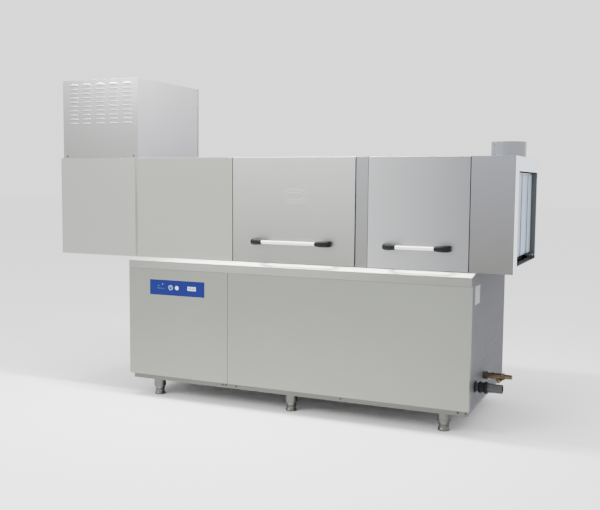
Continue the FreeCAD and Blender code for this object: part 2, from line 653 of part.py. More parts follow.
def end_frame(x0, x1, r0, r1, curtain_x):
    outer = box(x0, x1, Y_TUNNEL_FRONT, Y_TUNNEL_BACK, Z_LEDGE + 3.0, Z_TOP)
    opening = box(x0 - EPS, x1 + EPS, Y_PASSAGE_FRONT, Y_PASSAGE_BACK, Z_SILL, Z_HEADER)
    plate = outer.cut(opening)
    y_out = Y_PASSAGE_BACK + SHEET
    head = box(r0, r1, Y_PASSAGE_FRONT, y_out, Z_HEADER, Z_HEADER + SHEET)
    sill = box(r0, r1, Y_PASSAGE_FRONT, y_out, Z_SILL - SHEET, Z_SILL)
    back = box(r0, r1, Y_PASSAGE_BACK, y_out, Z_SILL - SHEET, Z_HEADER + SHEET)
    return fuse([plate, head, sill, back] + curtain_hooks(curtain_x, Z_HEADER))


def exhaust_collar():
    spigot = pipe("z", COLLAR_R, SHEET, COLLAR_X, COLLAR_Y, Z_TOP, Z_COLLAR - Z_TOP)
    flange = pipe("z", COLLAR_R + 8.0, 8.0 + SHEET, COLLAR_X, COLLAR_Y, Z_TOP, 2.0)
    return fuse([spigot, flange])


# ---------------------------------------------------------------- doors
def door(edges, cables):
    """Hollow door panel with a drain gap underneath and the two lifting ears."""
    x0, x1 = edges
    z1 = Z_TOP - 1.0
    body = box(x0, x1, Y_TUNNEL_FRONT, Y_DOOR_BACK, Z_DOOR_BOTTOM, z1)
    front_edges = [e for e in body.Edges
                   if all(abs(v.Y - Y_TUNNEL_FRONT) < 0.01 for v in e.Vertexes)]
    body = body.makeFillet(2.0, front_edges)
    t = 1.2
    panel = body.cut(box(x0 + t, x1 - t, Y_TUNNEL_FRONT + t, Y_DOOR_BACK - t,
                         Z_DOOR_BOTTOM - EPS, z1 - t))
    return fuse([panel] + lifting_ears(edges, cables))


def handle_tube(ends):
    x0, x1 = ends
    inset = BRACKET_LONG - SOCKET_DEPTH
    return rod("x", HANDLE_R, x0 + inset, Y_HANDLE, HANDLE_Z, x1 - x0 - 2 * inset)


def handle_bracket(x_outer, side):
    """Moulded end bracket: starts on the door and sweeps forward to the tube's end."""
    x_in = x_outer + side * BRACKET_LONG
    r = HANDLE_R + 3.5
    y1 = Y_TUNNEL_FRONT
    outline = [(0.0, y1), (0.0, y1 - 12.0), (9.0, Y_HANDLE + 4.0), (26.0, Y_HANDLE - r),
               (BRACKET_LONG, Y_HANDLE - r), (BRACKET_LONG, Y_HANDLE + r),
               (42.0, Y_HANDLE + r), (34.0, y1)]
    ring = [V(x_outer + side * d, y, HANDLE_Z - BRACKET_HIGH / 2) for d, y in outline]
    body = Part.Face(Part.makePolygon(ring + ring[:1])).extrude(V(0, 0, BRACKET_HIGH))
    start = min(x_in, x_in - side * SOCKET_DEPTH)
    return body.cut(rod("x", HANDLE_R, start, Y_HANDLE, HANDLE_Z, SOCKET_DEPTH))


def handle_brackets(ends):
    return group([handle_bracket(ends[0], 1), handle_bracket(ends[1], -1)])


def door_shoes(edges):
    """Polymer shoes on the door's back, running in the guides."""
    pieces = []
    for x in guide_edges(edges[0], edges[1]):
        mid = x + GUIDE_WIDE / 2
        for z in (732.0, 764.0):
            stem = box(mid - 4.5, mid + 4.5, Y_DOOR_BACK, Y_GUIDE_FRONT + 3.0, z, z + 20.0)
            head = box(mid - 10.0, mid + 10.0, Y_GUIDE_FRONT + 2.5, Y_GUIDE_BACK - 3.0,
                       z, z + 20.0)
            pieces.append(fuse([stem, head]))
    return group(pieces)


def lifting_ears(edges, cables):
    """Two ears at the door's lower corners, one for each cable."""
    z0 = Z_EAR - 14.0
    y0 = Y_DOOR_BACK
    spans = ((cables[0] - EAR_REACH, edges[0] + 5.0), (edges[1] - 5.0, cables[1] + EAR_REACH))
    ears = [box(x0, x1, y0 - 1.2, y0 + 1.6, z0, Z_EAR) for x0, x1 in spans]
    bosses = [box(x - 5.0, x + 5.0, y0, Y_CABLE_DOOR + 4.0, z0, Z_EAR) for x in cables]
    return ears + bosses


def counterweights(cables):
    return group([weight_box(x, Z_WEIGHT_TOP - WEIGHT_LONG, Z_WEIGHT_TOP) for x in cables])


def door_cables(cables):
    """Each cable: up from the door's ear, over the pulley, down to the counterweight."""
    runs = []
    for x in cables:
        front = rod("z", CABLE_R, x, Y_CABLE_DOOR, Z_EAR, Z_SHAFT - Z_EAR)
        rear = rod("z", CABLE_R, x, Y_CABLE_WEIGHT, Z_WEIGHT_TOP, Z_SHAFT - Z_WEIGHT_TOP)
        ring = Part.makeTorus(PULLEY_R, CABLE_R, V(x, Y_SHAFT, Z_SHAFT), AXIS["x"])
        lower = box(x - 10.0, x + 10.0, Y_SHAFT - 30.0, Y_SHAFT + 30.0,
                    Z_SHAFT - 40.0, Z_SHAFT)
        runs.append(fuse([front, rear, ring.cut(lower)]))
    return group(runs)


def balance_shaft(cables):
    """Cross shaft with a grooved pulley at each end."""
    off = PULLEY_WIDE / 2 + 2.0 + 4.0 + 2.0
    shaft = rod("x", SHAFT_R, cables[0] - off, Y_SHAFT, Z_SHAFT,
                cables[1] - cables[0] + 2 * off)
    wheels = []
    for x in cables:
        wheel = rod("x", PULLEY_R + 1.5, x - PULLEY_WIDE / 2, Y_SHAFT, Z_SHAFT, PULLEY_WIDE)
        groove = Part.makeTorus(PULLEY_R, CABLE_R + 0.4, V(x, Y_SHAFT, Z_SHAFT), AXIS["x"])
        rim = pipe("x", PULLEY_R + 2.0, 2.0, x - CABLE_R - 0.4, Y_SHAFT, Z_SHAFT,
                   2 * CABLE_R + 0.8)
        wheels.append(wheel.cut(groove).cut(rim))
    return fuse([shaft] + wheels)


# ---------------------------------------------------------------- dryer module and tower
def dryer_module_shell():
    """Exit module: hollow front wall, back, floor, roof with the hot-air opening, end plate."""
    x0 = X_EXIT
    x1 = X_CABINET_LEFT - 0.5
    front = hollow_wall(x0 + 2.0, x1, Z_LEDGE, Z_TOP)
    back = box(x0 + 2.0, x1, Y_TUNNEL_BACK - SHEET, Y_TUNNEL_BACK, Z_LEDGE, Z_TOP)
    floor = box(x0 + 2.0, x1, Y_PASSAGE_FRONT - SHEET, Y_TUNNEL_BACK, Z_LEDGE, Z_LEDGE + SHEET)
    roof = box(x0 + 2.0, x1, Y_TUNNEL_FRONT, Y_TUNNEL_BACK, Z_TOP - SHEET, Z_TOP)
    roof = roof.cut(box(*hot_air_opening(), Z_TOP - EPS, Z_TOP + EPS))
    end = end_frame(x0, x0 + 2.0, x0 + 2.0, x0 + 40.0, CURTAIN_X[0])
    return fuse([front, back, floor, roof, end])


def hot_air_opening():
    return (BLOWER_X - 90.0, BLOWER_X + 90.0, BLOWER_Y - 70.0, BLOWER_Y + 70.0)


def tower_shell():
    """Blower cover: two sides, back, top and a base flange; the front is the louvred panel."""
    x0, x1 = TOWER_X
    y0, y1 = TOWER_Y
    outer = box(x0, x1, y0 + SHEET, y1, Z_TOP, Z_TOWER)
    inner = box(x0 + SHEET, x1 - SHEET, y0 - EPS, y1 - SHEET, Z_TOP - EPS, Z_TOWER - SHEET)
    shell = outer.cut(inner)
    rim = box(x0, x1, y0 + SHEET, y1, Z_TOP, Z_TOP + SHEET)
    rim = rim.cut(box(x0 + 20.0, x1 - 20.0, y0 + 20.0, y1 - 20.0, Z_TOP - EPS, Z_TOP + EPS))
    tabs = [box(x, x + 16.0, y0 + SHEET, y0 + 2 * SHEET, Z_TOP, Z_TOWER - SHEET)
            for x in (x0 + SHEET, x1 - SHEET - 16.0)]
    return fuse([shell, rim] + tabs)


def louvre_rows():
    """Centres of the louvre slots on the tower front: five columns of ten."""
    columns = (-396.5, -311.5, -223.5, -138.5, -50.5)
    return [(X_CABINET_LEFT + c, 1621.0 - 22.5 * row) for c in columns for row in range(10)]


def tower_front():
    """Front panel with pressed louvres."""
    x0, x1 = TOWER_X
    y0 = TOWER_Y[0]
    panel = box(x0, x1, y0, y0 + SHEET, Z_TOP, Z_TOWER)
    half = 31.0
    slots = [box(x - half, x + half, y0 - EPS, y0 + EPS, z - 2.5, z + 2.5)
             for x, z in louvre_rows()]
    hoods = []
    for x, z in louvre_rows():
        lip = [(y0 + 0.2, z + 7.5), (y0 + 0.2, z + 6.3), (y0 - 3.2, z - 1.7), (y0 - 3.2, z - 0.5)]
        hoods.append(profile_x(lip, x - half, x + half))
    return fuse([panel.cut(group(slots))] + hoods)


def blower_housing():
    """Scroll housing with its outlet duct down to the hot-air opening."""
    x, y, z = BLOWER_X, BLOWER_Y, BLOWER_Z
    wide = 130.0
    y0 = y - wide / 2
    scroll_r = WHEEL_R + 45.0
    drum = rod("y", scroll_r, x, y0, z, wide)
    a0, a1, b0, b1 = hot_air_opening()
    duct = box(x - scroll_r, x - 10.0, y0, y0 + wide, Z_TOP + 60.0, z)
    left = x - scroll_r
    hood = box(left, a1 + 6.0, y0 - 8.0, y0 + wide + 8.0, Z_TOP, Z_TOP + 62.0)
    solid = fuse([drum, duct, hood])
    t = 2.0
    drum_in = rod("y", scroll_r - t, x, y0 + t, z, wide - 2 * t)
    duct_in = box(x - scroll_r + t, x - 10.0 - t, y0 + t, y0 + wide - t, Z_TOP + 50.0, z)
    hood_in = box(left + t, a1 + 4.0, y0 - 6.0, y0 + wide + 6.0, Z_TOP - EPS, Z_TOP + 60.0)
    eye = rod("y", WHEEL_R - 25.0, x, y0 - EPS, z, 4 * EPS)
    back_hole = rod("y", 12.0, x, y0 + wide - 2 * EPS, z, 4 * EPS)
    return solid.cut(fuse([drum_in, duct_in, hood_in])).cut(eye).cut(back_hole)


def blower_wheel():
    """Forward-curved wheel: back plate, front ring, blades and hub."""
    x, y, z = BLOWER_X, BLOWER_Y, BLOWER_Z
    y0 = y - 50.0
    wide = 100.0
    ring = pipe("y", WHEEL_R, 18.0, x, y0, z, 3.0)
    plate = rod("y", WHEEL_R, x, y0 + wide - 3.0, z, 3.0)
    hub = rod("y", 20.0, x, y0 + wide - 40.0, z, 40.0)
    blades = []
    count = 24
    for k in range(count):
        blade = box(x + WHEEL_R - 17.0, x + WHEEL_R - 1.0, y0 + 2.0, y0 + wide - 2.0,
                    z - 1.0, z + 1.0)
        blade.rotate(V(x + WHEEL_R - 9.0, y, z), AXIS["y"], 35)
        blade.rotate(V(x, y, z), AXIS["y"], k * 360.0 / count)
        blades.append(blade)
    bore = rod("y", 8.0 + FIT, x, y0 + wide - 45.0, z, 60.0)
    return fuse([ring, plate, hub] + blades).cut(bore)


def blower_motor():
    """Motor behind the scroll, its shaft in the wheel's hub, on a shelf bracket."""
    x, y, z = BLOWER_X, BLOWER_Y, BLOWER_Z
    y0 = y + 65.0
    flange = rod("y", 70.0, x, y0, z, 6.0)
    body = rod("y", 58.0, x, y0 + 6.0, z, 120.0)
    fins = [pipe("y", 62.0, 6.0, x, y0 + 20.0 + 14.0 * k, z, 4.0) for k in range(7)]
    shaft = rod("y", 8.0, x, y - 5.0, z, 75.0)
    return fuse([flange, body, shaft] + fins)


def heater_battery():
    """Electric heater frame with finned rods, hanging in the hot-air opening."""
    a0, a1, b0, b1 = hot_air_opening()
    z0, z1 = Z_TOP - 46.0, Z_TOP - SHEET
    frame = open_tube_z(a0 - 4.0, a1 + 4.0, b0 - 4.0, b1 + 4.0, z0, z1, 2.0)
    rods = []
    for k in range(6):
        x = a0 + 15.0 + k * 30.0
        rods.append(rod("y", 4.0, x, b0 - 3.0, z0 + 20.0, b1 - b0 + 6.0))
        for n in range(8):
            rods.append(rod("y", 11.0, x, b0 + 8.0 + n * 17.0, z0 + 20.0, 1.0))
    return fuse([frame] + rods)


# ---------------------------------------------------------------- conveyor
def conveyor_rails():
    """Two rack rails on legs, tied by cross bars that carry the carriage blocks."""
    x0, x1 = X_EXIT + 6.0, X_ENTRY - 6.0
    wide = 20.0
    rails = [box(x0, x1, Y_PASSAGE_FRONT + 2.0, Y_PASSAGE_FRONT + 2.0 + wide, Z_RACK - 8.0, Z_RACK),
             box(x0, x1, Y_PASSAGE_BACK - 26.0 - wide, Y_PASSAGE_BACK - 26.0,
                 Z_RACK - 8.0, Z_RACK)]
    parts = list(rails)
    y0 = Y_PASSAGE_FRONT + 2.0
    y1 = Y_PASSAGE_BACK - 26.0
    for x in CROSS_BARS:
        parts.append(box(x - 10.0, x + 10.0, y0, y1, Z_SILL + 0.5, Z_SILL + 3.5))
        foot = Z_LEDGE + DECK
        if x < X_CABINET_LEFT:
            foot = Z_LEDGE + SHEET
        if x > X_CABINET_RIGHT:
            foot = Z_LEDGE + 3.0 + SHEET
        for y in (y0, y1 - 4.0):
            parts.append(box(x - 10.0, x + 10.0, y, y + 4.0, foot, Z_RACK - 4.0))
    return fuse(parts)


def pawl_carriage():
    """Reciprocating twin bar with cross ties and the fork that the drive lever moves."""
    x0 = X_EXIT + 110.0
    x1 = X_ENTRY - 110.0
    z0, z1 = CARRIAGE_Z
    bars = [box(x0, x1, Y_PASSAGE_MID + dy, Y_PASSAGE_MID + dy + 5.0, z0, z1)
            for dy in (-30.0, 25.0)]
    ties = [box(x - 12.0, x + 12.0, Y_PASSAGE_MID - 30.0, Y_PASSAGE_MID + 30.0, z0, z0 + 4.0)
            for x in PAWLS]
    lug = box(LEVER_X - 24.0, LEVER_X + 24.0, Y_PASSAGE_MID + 28.0, LEVER_Y + 9.0, z0, z0 + 5.0)
    tines = []
    inside = LEVER_PIN_R + 2.0
    for side in (-1, 1):
        a = LEVER_X + side * inside
        b = LEVER_X + side * (inside + 6.0)
        tines.append(box(min(a, b), max(a, b), LEVER_Y - 8.0, LEVER_Y + 8.0, 728.0, z0 + 5.0))
    return group([fuse(bars + ties + [lug] + tines)] + rack_pawls())


def rack_pawls():
    """One pawl per tie: a sloped tooth that pushes a rack towards the exit."""
    teeth = []
    for x in PAWLS:
        outline = [(x - 10.0, CARRIAGE_Z[0] + 4.0), (x + 10.0, CARRIAGE_Z[0] + 4.0),
                   (x + 10.0, CARRIAGE_Z[1]), (x - 10.0, Z_RACK + 11.0), (x - 14.0, Z_RACK + 11.0),
                   (x - 14.0, CARRIAGE_Z[1] + 4.0), (x - 10.0, CARRIAGE_Z[1])]
        teeth.append(profile_y(outline, Y_PASSAGE_MID - 12.0, Y_PASSAGE_MID + 12.0))
    return teeth


def drive_lever():
    """Rocker arm on the gearmotor shaft; its pin works in the carriage fork."""
    x, y = LEVER_X, LEVER_Y
    hub = rod("y", 24.0, x, y - 4.0, Z_LEVER_HUB, 26.0)
    arm = profile_y([(x - 20.0, Z_LEVER_HUB), (x + 20.0, Z_LEVER_HUB),
                     (x + 11.0, Z_LEVER_PIN), (x - 11.0, Z_LEVER_PIN)], y + 12.0, y + 20.0)
    eye = rod("y", 12.0, x, y + 12.0, Z_LEVER_PIN, 8.0)
    pin = rod("y", LEVER_PIN_R, x, y - 6.0, Z_LEVER_PIN, 20.0)
    bore = rod("y", 12.0 + FIT, x, y - 2 * EPS, Z_LEVER_HUB, 50.0)
    return fuse([hub, arm, eye, pin]).cut(bore)


def conveyor_gearmotor():
    """Right-angle gearbox with a vertical motor, hung from the deck by a bracket."""
    x = LEVER_X
    y0 = LEVER_Y + 26.0
    z = Z_LEVER_HUB
    case = rounded_z(box(x - 48.0, x + 48.0, y0, y0 + 84.0, z - 60.0, z + 50.0), 10.0)
    motor = rod("z", 52.0, x, y0 + 42.0, z - 240.0, 180.0)
    fins = [pipe("z", 56.0, 6.0, x, y0 + 42.0, z - 225.0 + 16.0 * k, 5.0) for k in range(10)]
    shaft = rod("y", 12.0, x, LEVER_Y - 6.0, z, y0 - LEVER_Y + 8.0)
    plate = box(x - 40.0, x + 40.0, y0 + 84.0, y0 + 88.0, z - 40.0, Z_LEDGE)
    return fuse([case, motor, shaft, plate] + fins)


def strip_curtain(x):
    """Rod with overlapping hanging strips; alternate strips hang on either side."""
    y0 = Y_PASSAGE_FRONT + 0.6
    y1 = Y_PASSAGE_BACK - 5.4
    bar = rod("y", CURTAIN_ROD_R, x, y0, Z_CURTAIN_ROD, y1 - y0)
    first = Y_PASSAGE_FRONT + 6.0
    count = 6
    pitch = (Y_PASSAGE_BACK - 12.0 - first) / count
    strips = []
    for k in range(count):
        side = 1.2 if k % 2 else -1.2
        a = first + k * pitch - (3.0 if k else 0.0)
        b = first + (k + 1) * pitch + (3.0 if k < count - 1 else 0.0)
        strips.append(box(x + side - 1.0, x + side + 1.0, a, b, CURTAIN_BOTTOM, Z_CURTAIN_ROD - 4.0))
    return fuse([bar] + strips)


# ---------------------------------------------------------------- water system
def spray_manifold(x, y0, y1):
    """Upright feed duct behind the passage, open below, with a port for each arm set."""
    low = Z_LEDGE + 12.0
    high = Z_HEADER + 48.0
    duct = box(x - MANIFOLD_WIDE / 2, x + MANIFOLD_WIDE / 2, y0, y1, low, high)
    inside = box(x - MANIFOLD_WIDE / 2 + ARM_WALL, x + MANIFOLD_WIDE / 2 - ARM_WALL,
                 y0 + ARM_WALL, y1 - ARM_WALL, low - EPS, high - ARM_WALL)
    ports = [rod("y", ARM_PORT_R, x, y0 - EPS, z + ARM_HIGH / 2, 2 * EPS) for z in ARM_LEVELS]
    return duct.cut(group([inside] + ports))


def arm_comb(edges, count, y_back, z):
    """One lift-out set of flat arms on a cross header, nozzles towards the dishes."""
    x0, x1 = edges
    y_end = Y_PASSAGE_FRONT + 14.0
    y_join = y_back - MANIFOLD_DEEP
    solids = [box(x0 + 55.0, x1 - 55.0, y_join, y_back, z, z + ARM_HIGH)]
    voids = [box(x0 + 55.0 + ARM_WALL, x1 - 55.0 - ARM_WALL, y_join + ARM_WALL,
                 y_back - ARM_WALL, z + ARM_WALL, z + ARM_HIGH - ARM_WALL),
             rod("y", ARM_PORT_R, (x0 + x1) / 2, y_back - EPS, z + ARM_HIGH / 2, 2 * EPS)]
    spread = (x1 - x0) - 130.0
    side = z + ARM_HIGH if z < Z_RACK else z
    for k in range(count):
        x = x0 + 65.0 + spread * k / (count - 1)
        solids.append(box(x - ARM_WIDE / 2, x + ARM_WIDE / 2, y_end, y_join + 1.0, z, z + ARM_HIGH))
        voids.append(box(x - ARM_WIDE / 2 + ARM_WALL, x + ARM_WIDE / 2 - ARM_WALL,
                         y_end + ARM_WALL, y_back - ARM_WALL, z + ARM_WALL,
                         z + ARM_HIGH - ARM_WALL))
        for n in range(NOZZLES):
            solids.append(rod("z", 5.0, x, y_end + 30.0 + n * NOZZLE_PITCH, side - 1.5, 3.0))
    return fuse(solids).cut(fuse(voids))


def arm_set(edges, count):
    """Feed duct with a lower and an upper set of arms plugged into it."""
    y1 = Y_PASSAGE_BACK + 13.0
    y0 = y1 - MANIFOLD_DEEP
    combs = [arm_comb(edges, count, y0 - 0.3, z) for z in ARM_LEVELS]
    return [spray_manifold((edges[0] + edges[1]) / 2, y0, y1)] + combs


def spray_arms():
    return group(arm_set(TANKS[0], 4) + arm_set(TANKS[1], 3))


def rinse_arms():
    """Slim pair of final-rinse tubes with their rear feed."""
    x = X_WASH_LEFT - 210.0
    y1 = Y_PASSAGE_BACK + 4.0
    y_end = Y_PASSAGE_FRONT + 14.0
    feed = rod("z", 10.0, x, y1, Z_LEDGE + 20.0, Z_HEADER + 18.0 - Z_LEDGE)
    parts = [feed]
    for z in (Z_LEDGE + 22.0, Z_HEADER + 30.0):
        parts.append(rod("y", 10.0, x, y_end, z, y1 - y_end))
        side = 10.0 if z < Z_RACK else -10.0
        for n in range(8):
            parts.append(rod("z", 3.5, x, y_end + 35.0 + n * 55.0, z + side - 2.0, 4.0))
    return fuse(parts)


PUMPS = (X_WASH_LEFT + 330.0, X_PREWASH_LEFT + 210.0)


def pump_casings():
    """Two volute casings with suction and discharge stubs."""
    y = Y_PASSAGE_MID - 60.0
    casings = []
    for x in PUMPS:
        volute = rod("x", 78.0, x - 30.0, y, PUMP_Z, 60.0)
        suction = rod("x", 27.0, x - 75.0, y, PUMP_Z, 50.0)
        elbow = rod("z", 27.0, x - 75.0, y, PUMP_Z, 440.0 - PUMP_Z)
        outlet = rod("z", 22.0, x, y + 50.0, PUMP_Z, 440.0 - PUMP_Z - 20.0)
        foot = box(x - 25.0, x + 25.0, y - 60.0, y + 60.0, Z_FRAME + 3.0, PUMP_Z - 70.0)
        casings.append(fuse([volute, suction, elbow, outlet, foot]))
    return casings


def pump_motors():
    y = Y_PASSAGE_MID - 60.0
    motors = []
    for x in PUMPS:
        face = rod("x", 70.0, x + 30.0, y, PUMP_Z, 12.0)
        body = rod("x", 60.0, x + 42.0, y, PUMP_Z, 150.0)
        cowl = rod("x", 63.0, x + 192.0, y, PUMP_Z, 36.0)
        fins = [pipe("x", 65.0, 7.0, x + 52.0 + 13.0 * k, y, PUMP_Z, 4.0) for k in range(10)]
        terminal = box(x + 80.0, x + 140.0, y - 30.0, y + 30.0, PUMP_Z + 50.0, PUMP_Z + 84.0)
        foot = box(x + 90.0, x + 130.0, y - 55.0, y + 55.0, Z_FRAME + 3.0, PUMP_Z - 50.0)
        motors.append(fuse([face, body, cowl, terminal, foot] + fins))
    return motors


def pumps():
    return group(pump_casings() + pump_motors())


def boiler():
    """Rinse boiler: horizontal tank with domed ends on two saddles."""
    x0 = X_WASH_LEFT - 260.0
    y = Y_PASSAGE_MID + 175.0
    z = 285.0
    r = 120.0
    long = 440.0
    body = rod("x", r, x0, y, z, long)
    body = body.makeFillet(10.0, [e for e in body.Edges if e.Curve.TypeId == "Part::GeomCircle"])
    saddles = [box(x0 + d, x0 + d + 30.0, y - 80.0, y + 80.0, Z_FRAME + 3.0, z - 60.0)
               for d in (70.0, long - 100.0)]
    heads = [hexagon("x", 46.0, x0 - 22.0, y + dy, z + dz, 40.0)
             for dy, dz in ((-45.0, 0.0), (45.0, 0.0), (0.0, 50.0))]
    outlet = rod("z", 11.0, x0 + long / 2, y, z + r - 10.0, 60.0)
    inside = rod("x", r - 2.0, x0 + 12.0, y, z, long - 24.0)
    bore = rod("z", 9.0, x0 + long / 2, y, z, r + 60.0)
    return fuse([body] + saddles + heads + [outlet]).cut(inside).cut(bore)


def tank_heaters():
    """Hairpin elements on the wash tank's floor, one behind the other."""
    x0, x1 = TANKS[0]
    y0 = Y_PASSAGE_MID - 150.0
    parts = []
    for k in range(3):
        y = y0 + k * 110.0
        z = 475.0
        for dy in (0.0, 50.0):
            parts.append(rod("x", 5.0, x0 + DECK + 1.0, y + dy, z, 480.0))
        bend = Part.makeTorus(25.0, 5.0, V(x0 + DECK + 481.0, y + 25.0, z), AXIS["z"])
        keep = box(x0 + DECK + 481.0, x0 + DECK + 520.0, y - 10.0, y + 60.0, z - 6.0, z + 6.0)
        parts.append(bend.common(keep))
        parts.append(box(x0 + DECK, x0 + DECK + 4.0, y - 15.0, y + 65.0, z - 20.0, z + 20.0))
    heaters = [fuse(parts[4 * k:4 * k + 4]) for k in range(3)]
    return group(heaters)


def strainer_trays():
    """Folded strainer tray over each tank mouth, slotted."""
    trays = []
    z = Z_LEDGE + DECK
    for x0, x1 in TANKS:
        a, b = x0 - 4.0, x1 + 4.0
        y0 = Y_PASSAGE_MID - TANK_DEPTH / 2
        y1 = Y_PASSAGE_MID + TANK_DEPTH / 2
        sheet = box(a, b, y0 - 6.0, y1 + 6.0, z, z + 1.2)
        cuts = []
        for i in range(int((b - a - 60.0) // 16.0)):
            for j in range(8):
                x = a + 34.0 + 16.0 * i
                y = y0 + 12.0 + 53.0 * j
                cuts.append(box(x, x + 5.0, y, y + 43.0, z - EPS, z + EPS))
        trays.append(sheet.cut(group(cuts)))
    return group(trays)


def water_inlet():
    """Brass inlet: union nuts, Y strainer body and hose tail on the right side."""
    x = X_CABINET_RIGHT - 14.0
    y, z = INLET_Y, INLET_Z
    tube = rod("x", 10.0, x, y, z, 60.0)
    nut1 = hexagon("x", 34.0, X_CABINET_RIGHT + 4.0, y, z, 18.0)
    body = rod("x", 14.0, X_CABINET_RIGHT + 20.0, y, z, 62.0)
    collar = rod("x", 17.0, X_CABINET_RIGHT + 42.0, y, z, 8.0)
    nut2 = hexagon("x", 30.0, X_CABINET_RIGHT + 82.0, y, z, 16.0)
    tail = rod("x", 11.0, X_CABINET_RIGHT + 98.0, y, z, 33.0)
    leg = rod("z", 10.0, 0.0, 0.0, 0.0, 34.0)
    leg = fuse([leg, hexagon("z", 24.0, 0.0, 0.0, 26.0, 12.0)])
    leg.rotate(V(0, 0, 0), AXIS["y"], 135)
    leg.translate(V(X_CABINET_RIGHT + 52.0, y, z))
    bore = rod("x", 7.0, X_CABINET_RIGHT + 70.0, y, z, 80.0)
    return fuse([tube, nut1, body, collar, nut2, tail, leg]).cut(bore)


def drain_pipe():
    """Grey waste pipe leaving through the right side."""
    x = X_CABINET_RIGHT - 60.0
    length = 60.0 + 122.0
    body = pipe("x", DRAIN_R, 2.5, x, DRAIN_Y, DRAIN_Z, length)
    socket = pipe("x", DRAIN_R + 3.0, 5.0, X_CABINET_RIGHT + 84.0, DRAIN_Y, DRAIN_Z, 38.0)
    return fuse([body, socket])


def drain_nut():
    """Black union nut on the waste pipe, ribbed for grip."""
    x = X_CABINET_RIGHT + 30.0
    ring = pipe("x", 25.0, 25.0 - DRAIN_R - 0.2, x, DRAIN_Y, DRAIN_Z, 26.0)
    ribs = []
    for k in range(16):
        rib = box(x, x + 26.0, DRAIN_Y + 24.0, DRAIN_Y + 26.5, DRAIN_Z - 2.0, DRAIN_Z + 2.0)
        rib.rotate(V(x, DRAIN_Y, DRAIN_Z), AXIS["x"], k * 22.5)
        ribs.append(rib)
    flange = pipe("x", 27.0, 27.0 - DRAIN_R - 0.2, X_CABINET_RIGHT + 0.2, DRAIN_Y, DRAIN_Z, 5.0)
    return group([fuse([ring] + ribs), flange])


# ---------------------------------------------------------------- export
NODES = {
    "base_frame": base_frame,
    "levelling_feet": levelling_feet,
    "front_panel_left": front_panel_left,
    "front_panel_right": front_panel_right,
    "side_panel_right": side_panel_right,
    "side_panel_left": side_panel_left,
    "rear_panel": rear_panel,
    "drip_ledge": drip_ledge,
    "control_panel": control_panel,
    "ring_key": lambda: key(KEY_RING_X, 13.0),
    "round_key": lambda: key(KEY_ROUND_X, 10.0),
    "electrical_box": electrical_box,
    "panel_screws": panel_screws,
    "tank_body": tank_body,
    "tunnel_back_wall": tunnel_back_wall,
    "tunnel_roof": tunnel_roof,
    "tunnel_front_panel": tunnel_front_panel,
    "tunnel_frame": tunnel_frame,
    "door_guides": door_guides,
    "centre_pillar": centre_pillar,
    "vestibule_shell": vestibule_shell,
    "entry_frame": entry_frame,
    "exhaust_collar": exhaust_collar,
    "wash_door": lambda: door(WASH_DOOR, WASH_CABLES),
    "wash_handle_tube": lambda: handle_tube(WASH_HANDLE),
    "wash_handle_brackets": lambda: handle_brackets(WASH_HANDLE),
    "wash_door_shoes": lambda: door_shoes(WASH_DOOR),
    "wash_counterweights": lambda: counterweights(WASH_CABLES),
    "wash_door_cables": lambda: door_cables(WASH_CABLES),
    "wash_balance_shaft": lambda: balance_shaft(WASH_CABLES),
    "prewash_door": lambda: door(PREWASH_DOOR, PREWASH_CABLES),
    "prewash_handle_tube": lambda: handle_tube(PREWASH_HANDLE),
    "prewash_handle_brackets": lambda: handle_brackets(PREWASH_HANDLE),
    "prewash_door_shoes": lambda: door_shoes(PREWASH_DOOR),
    "prewash_counterweights": lambda: counterweights(PREWASH_CABLES),
    "prewash_door_cables": lambda: door_cables(PREWASH_CABLES),
    "prewash_balance_shaft": lambda: balance_shaft(PREWASH_CABLES),
    "dryer_module_shell": dryer_module_shell,
    "tower_shell": tower_shell,
    "tower_front": tower_front,
    "blower_housing": blower_housing,
    "blower_wheel": blower_wheel,
    "blower_motor": blower_motor,
    "heater_battery": heater_battery,
    "conveyor_rails": conveyor_rails,
    "pawl_carriage": pawl_carriage,
    "drive_lever": drive_lever,
    "conveyor_gearmotor": conveyor_gearmotor,
    "exit_curtain": lambda: strip_curtain(CURTAIN_X[0]),
    "middle_curtain": lambda: strip_curtain(CURTAIN_X[1]),
    "entry_curtain": lambda: strip_curtain(CURTAIN_X[2]),
    "spray_arms": spray_arms,
    "rinse_arms": rinse_arms,
    "strainer_trays": strainer_trays,
    "tank_heaters": tank_heaters,
    "pumps": pumps,
    "boiler": boiler,
    "water_inlet": water_inlet,
    "drain_pipe": drain_pipe,
    "drain_nut": drain_nut,
}


def main():
    os.makedirs("parts", exist_ok=True)
    for name, make in NODES.items():
        shape = make()
        shape.exportStep("parts/%s.step" % name)


main()
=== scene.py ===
import json
import math
import random

import bmesh
import bpy
from mathutils import Matrix, Vector


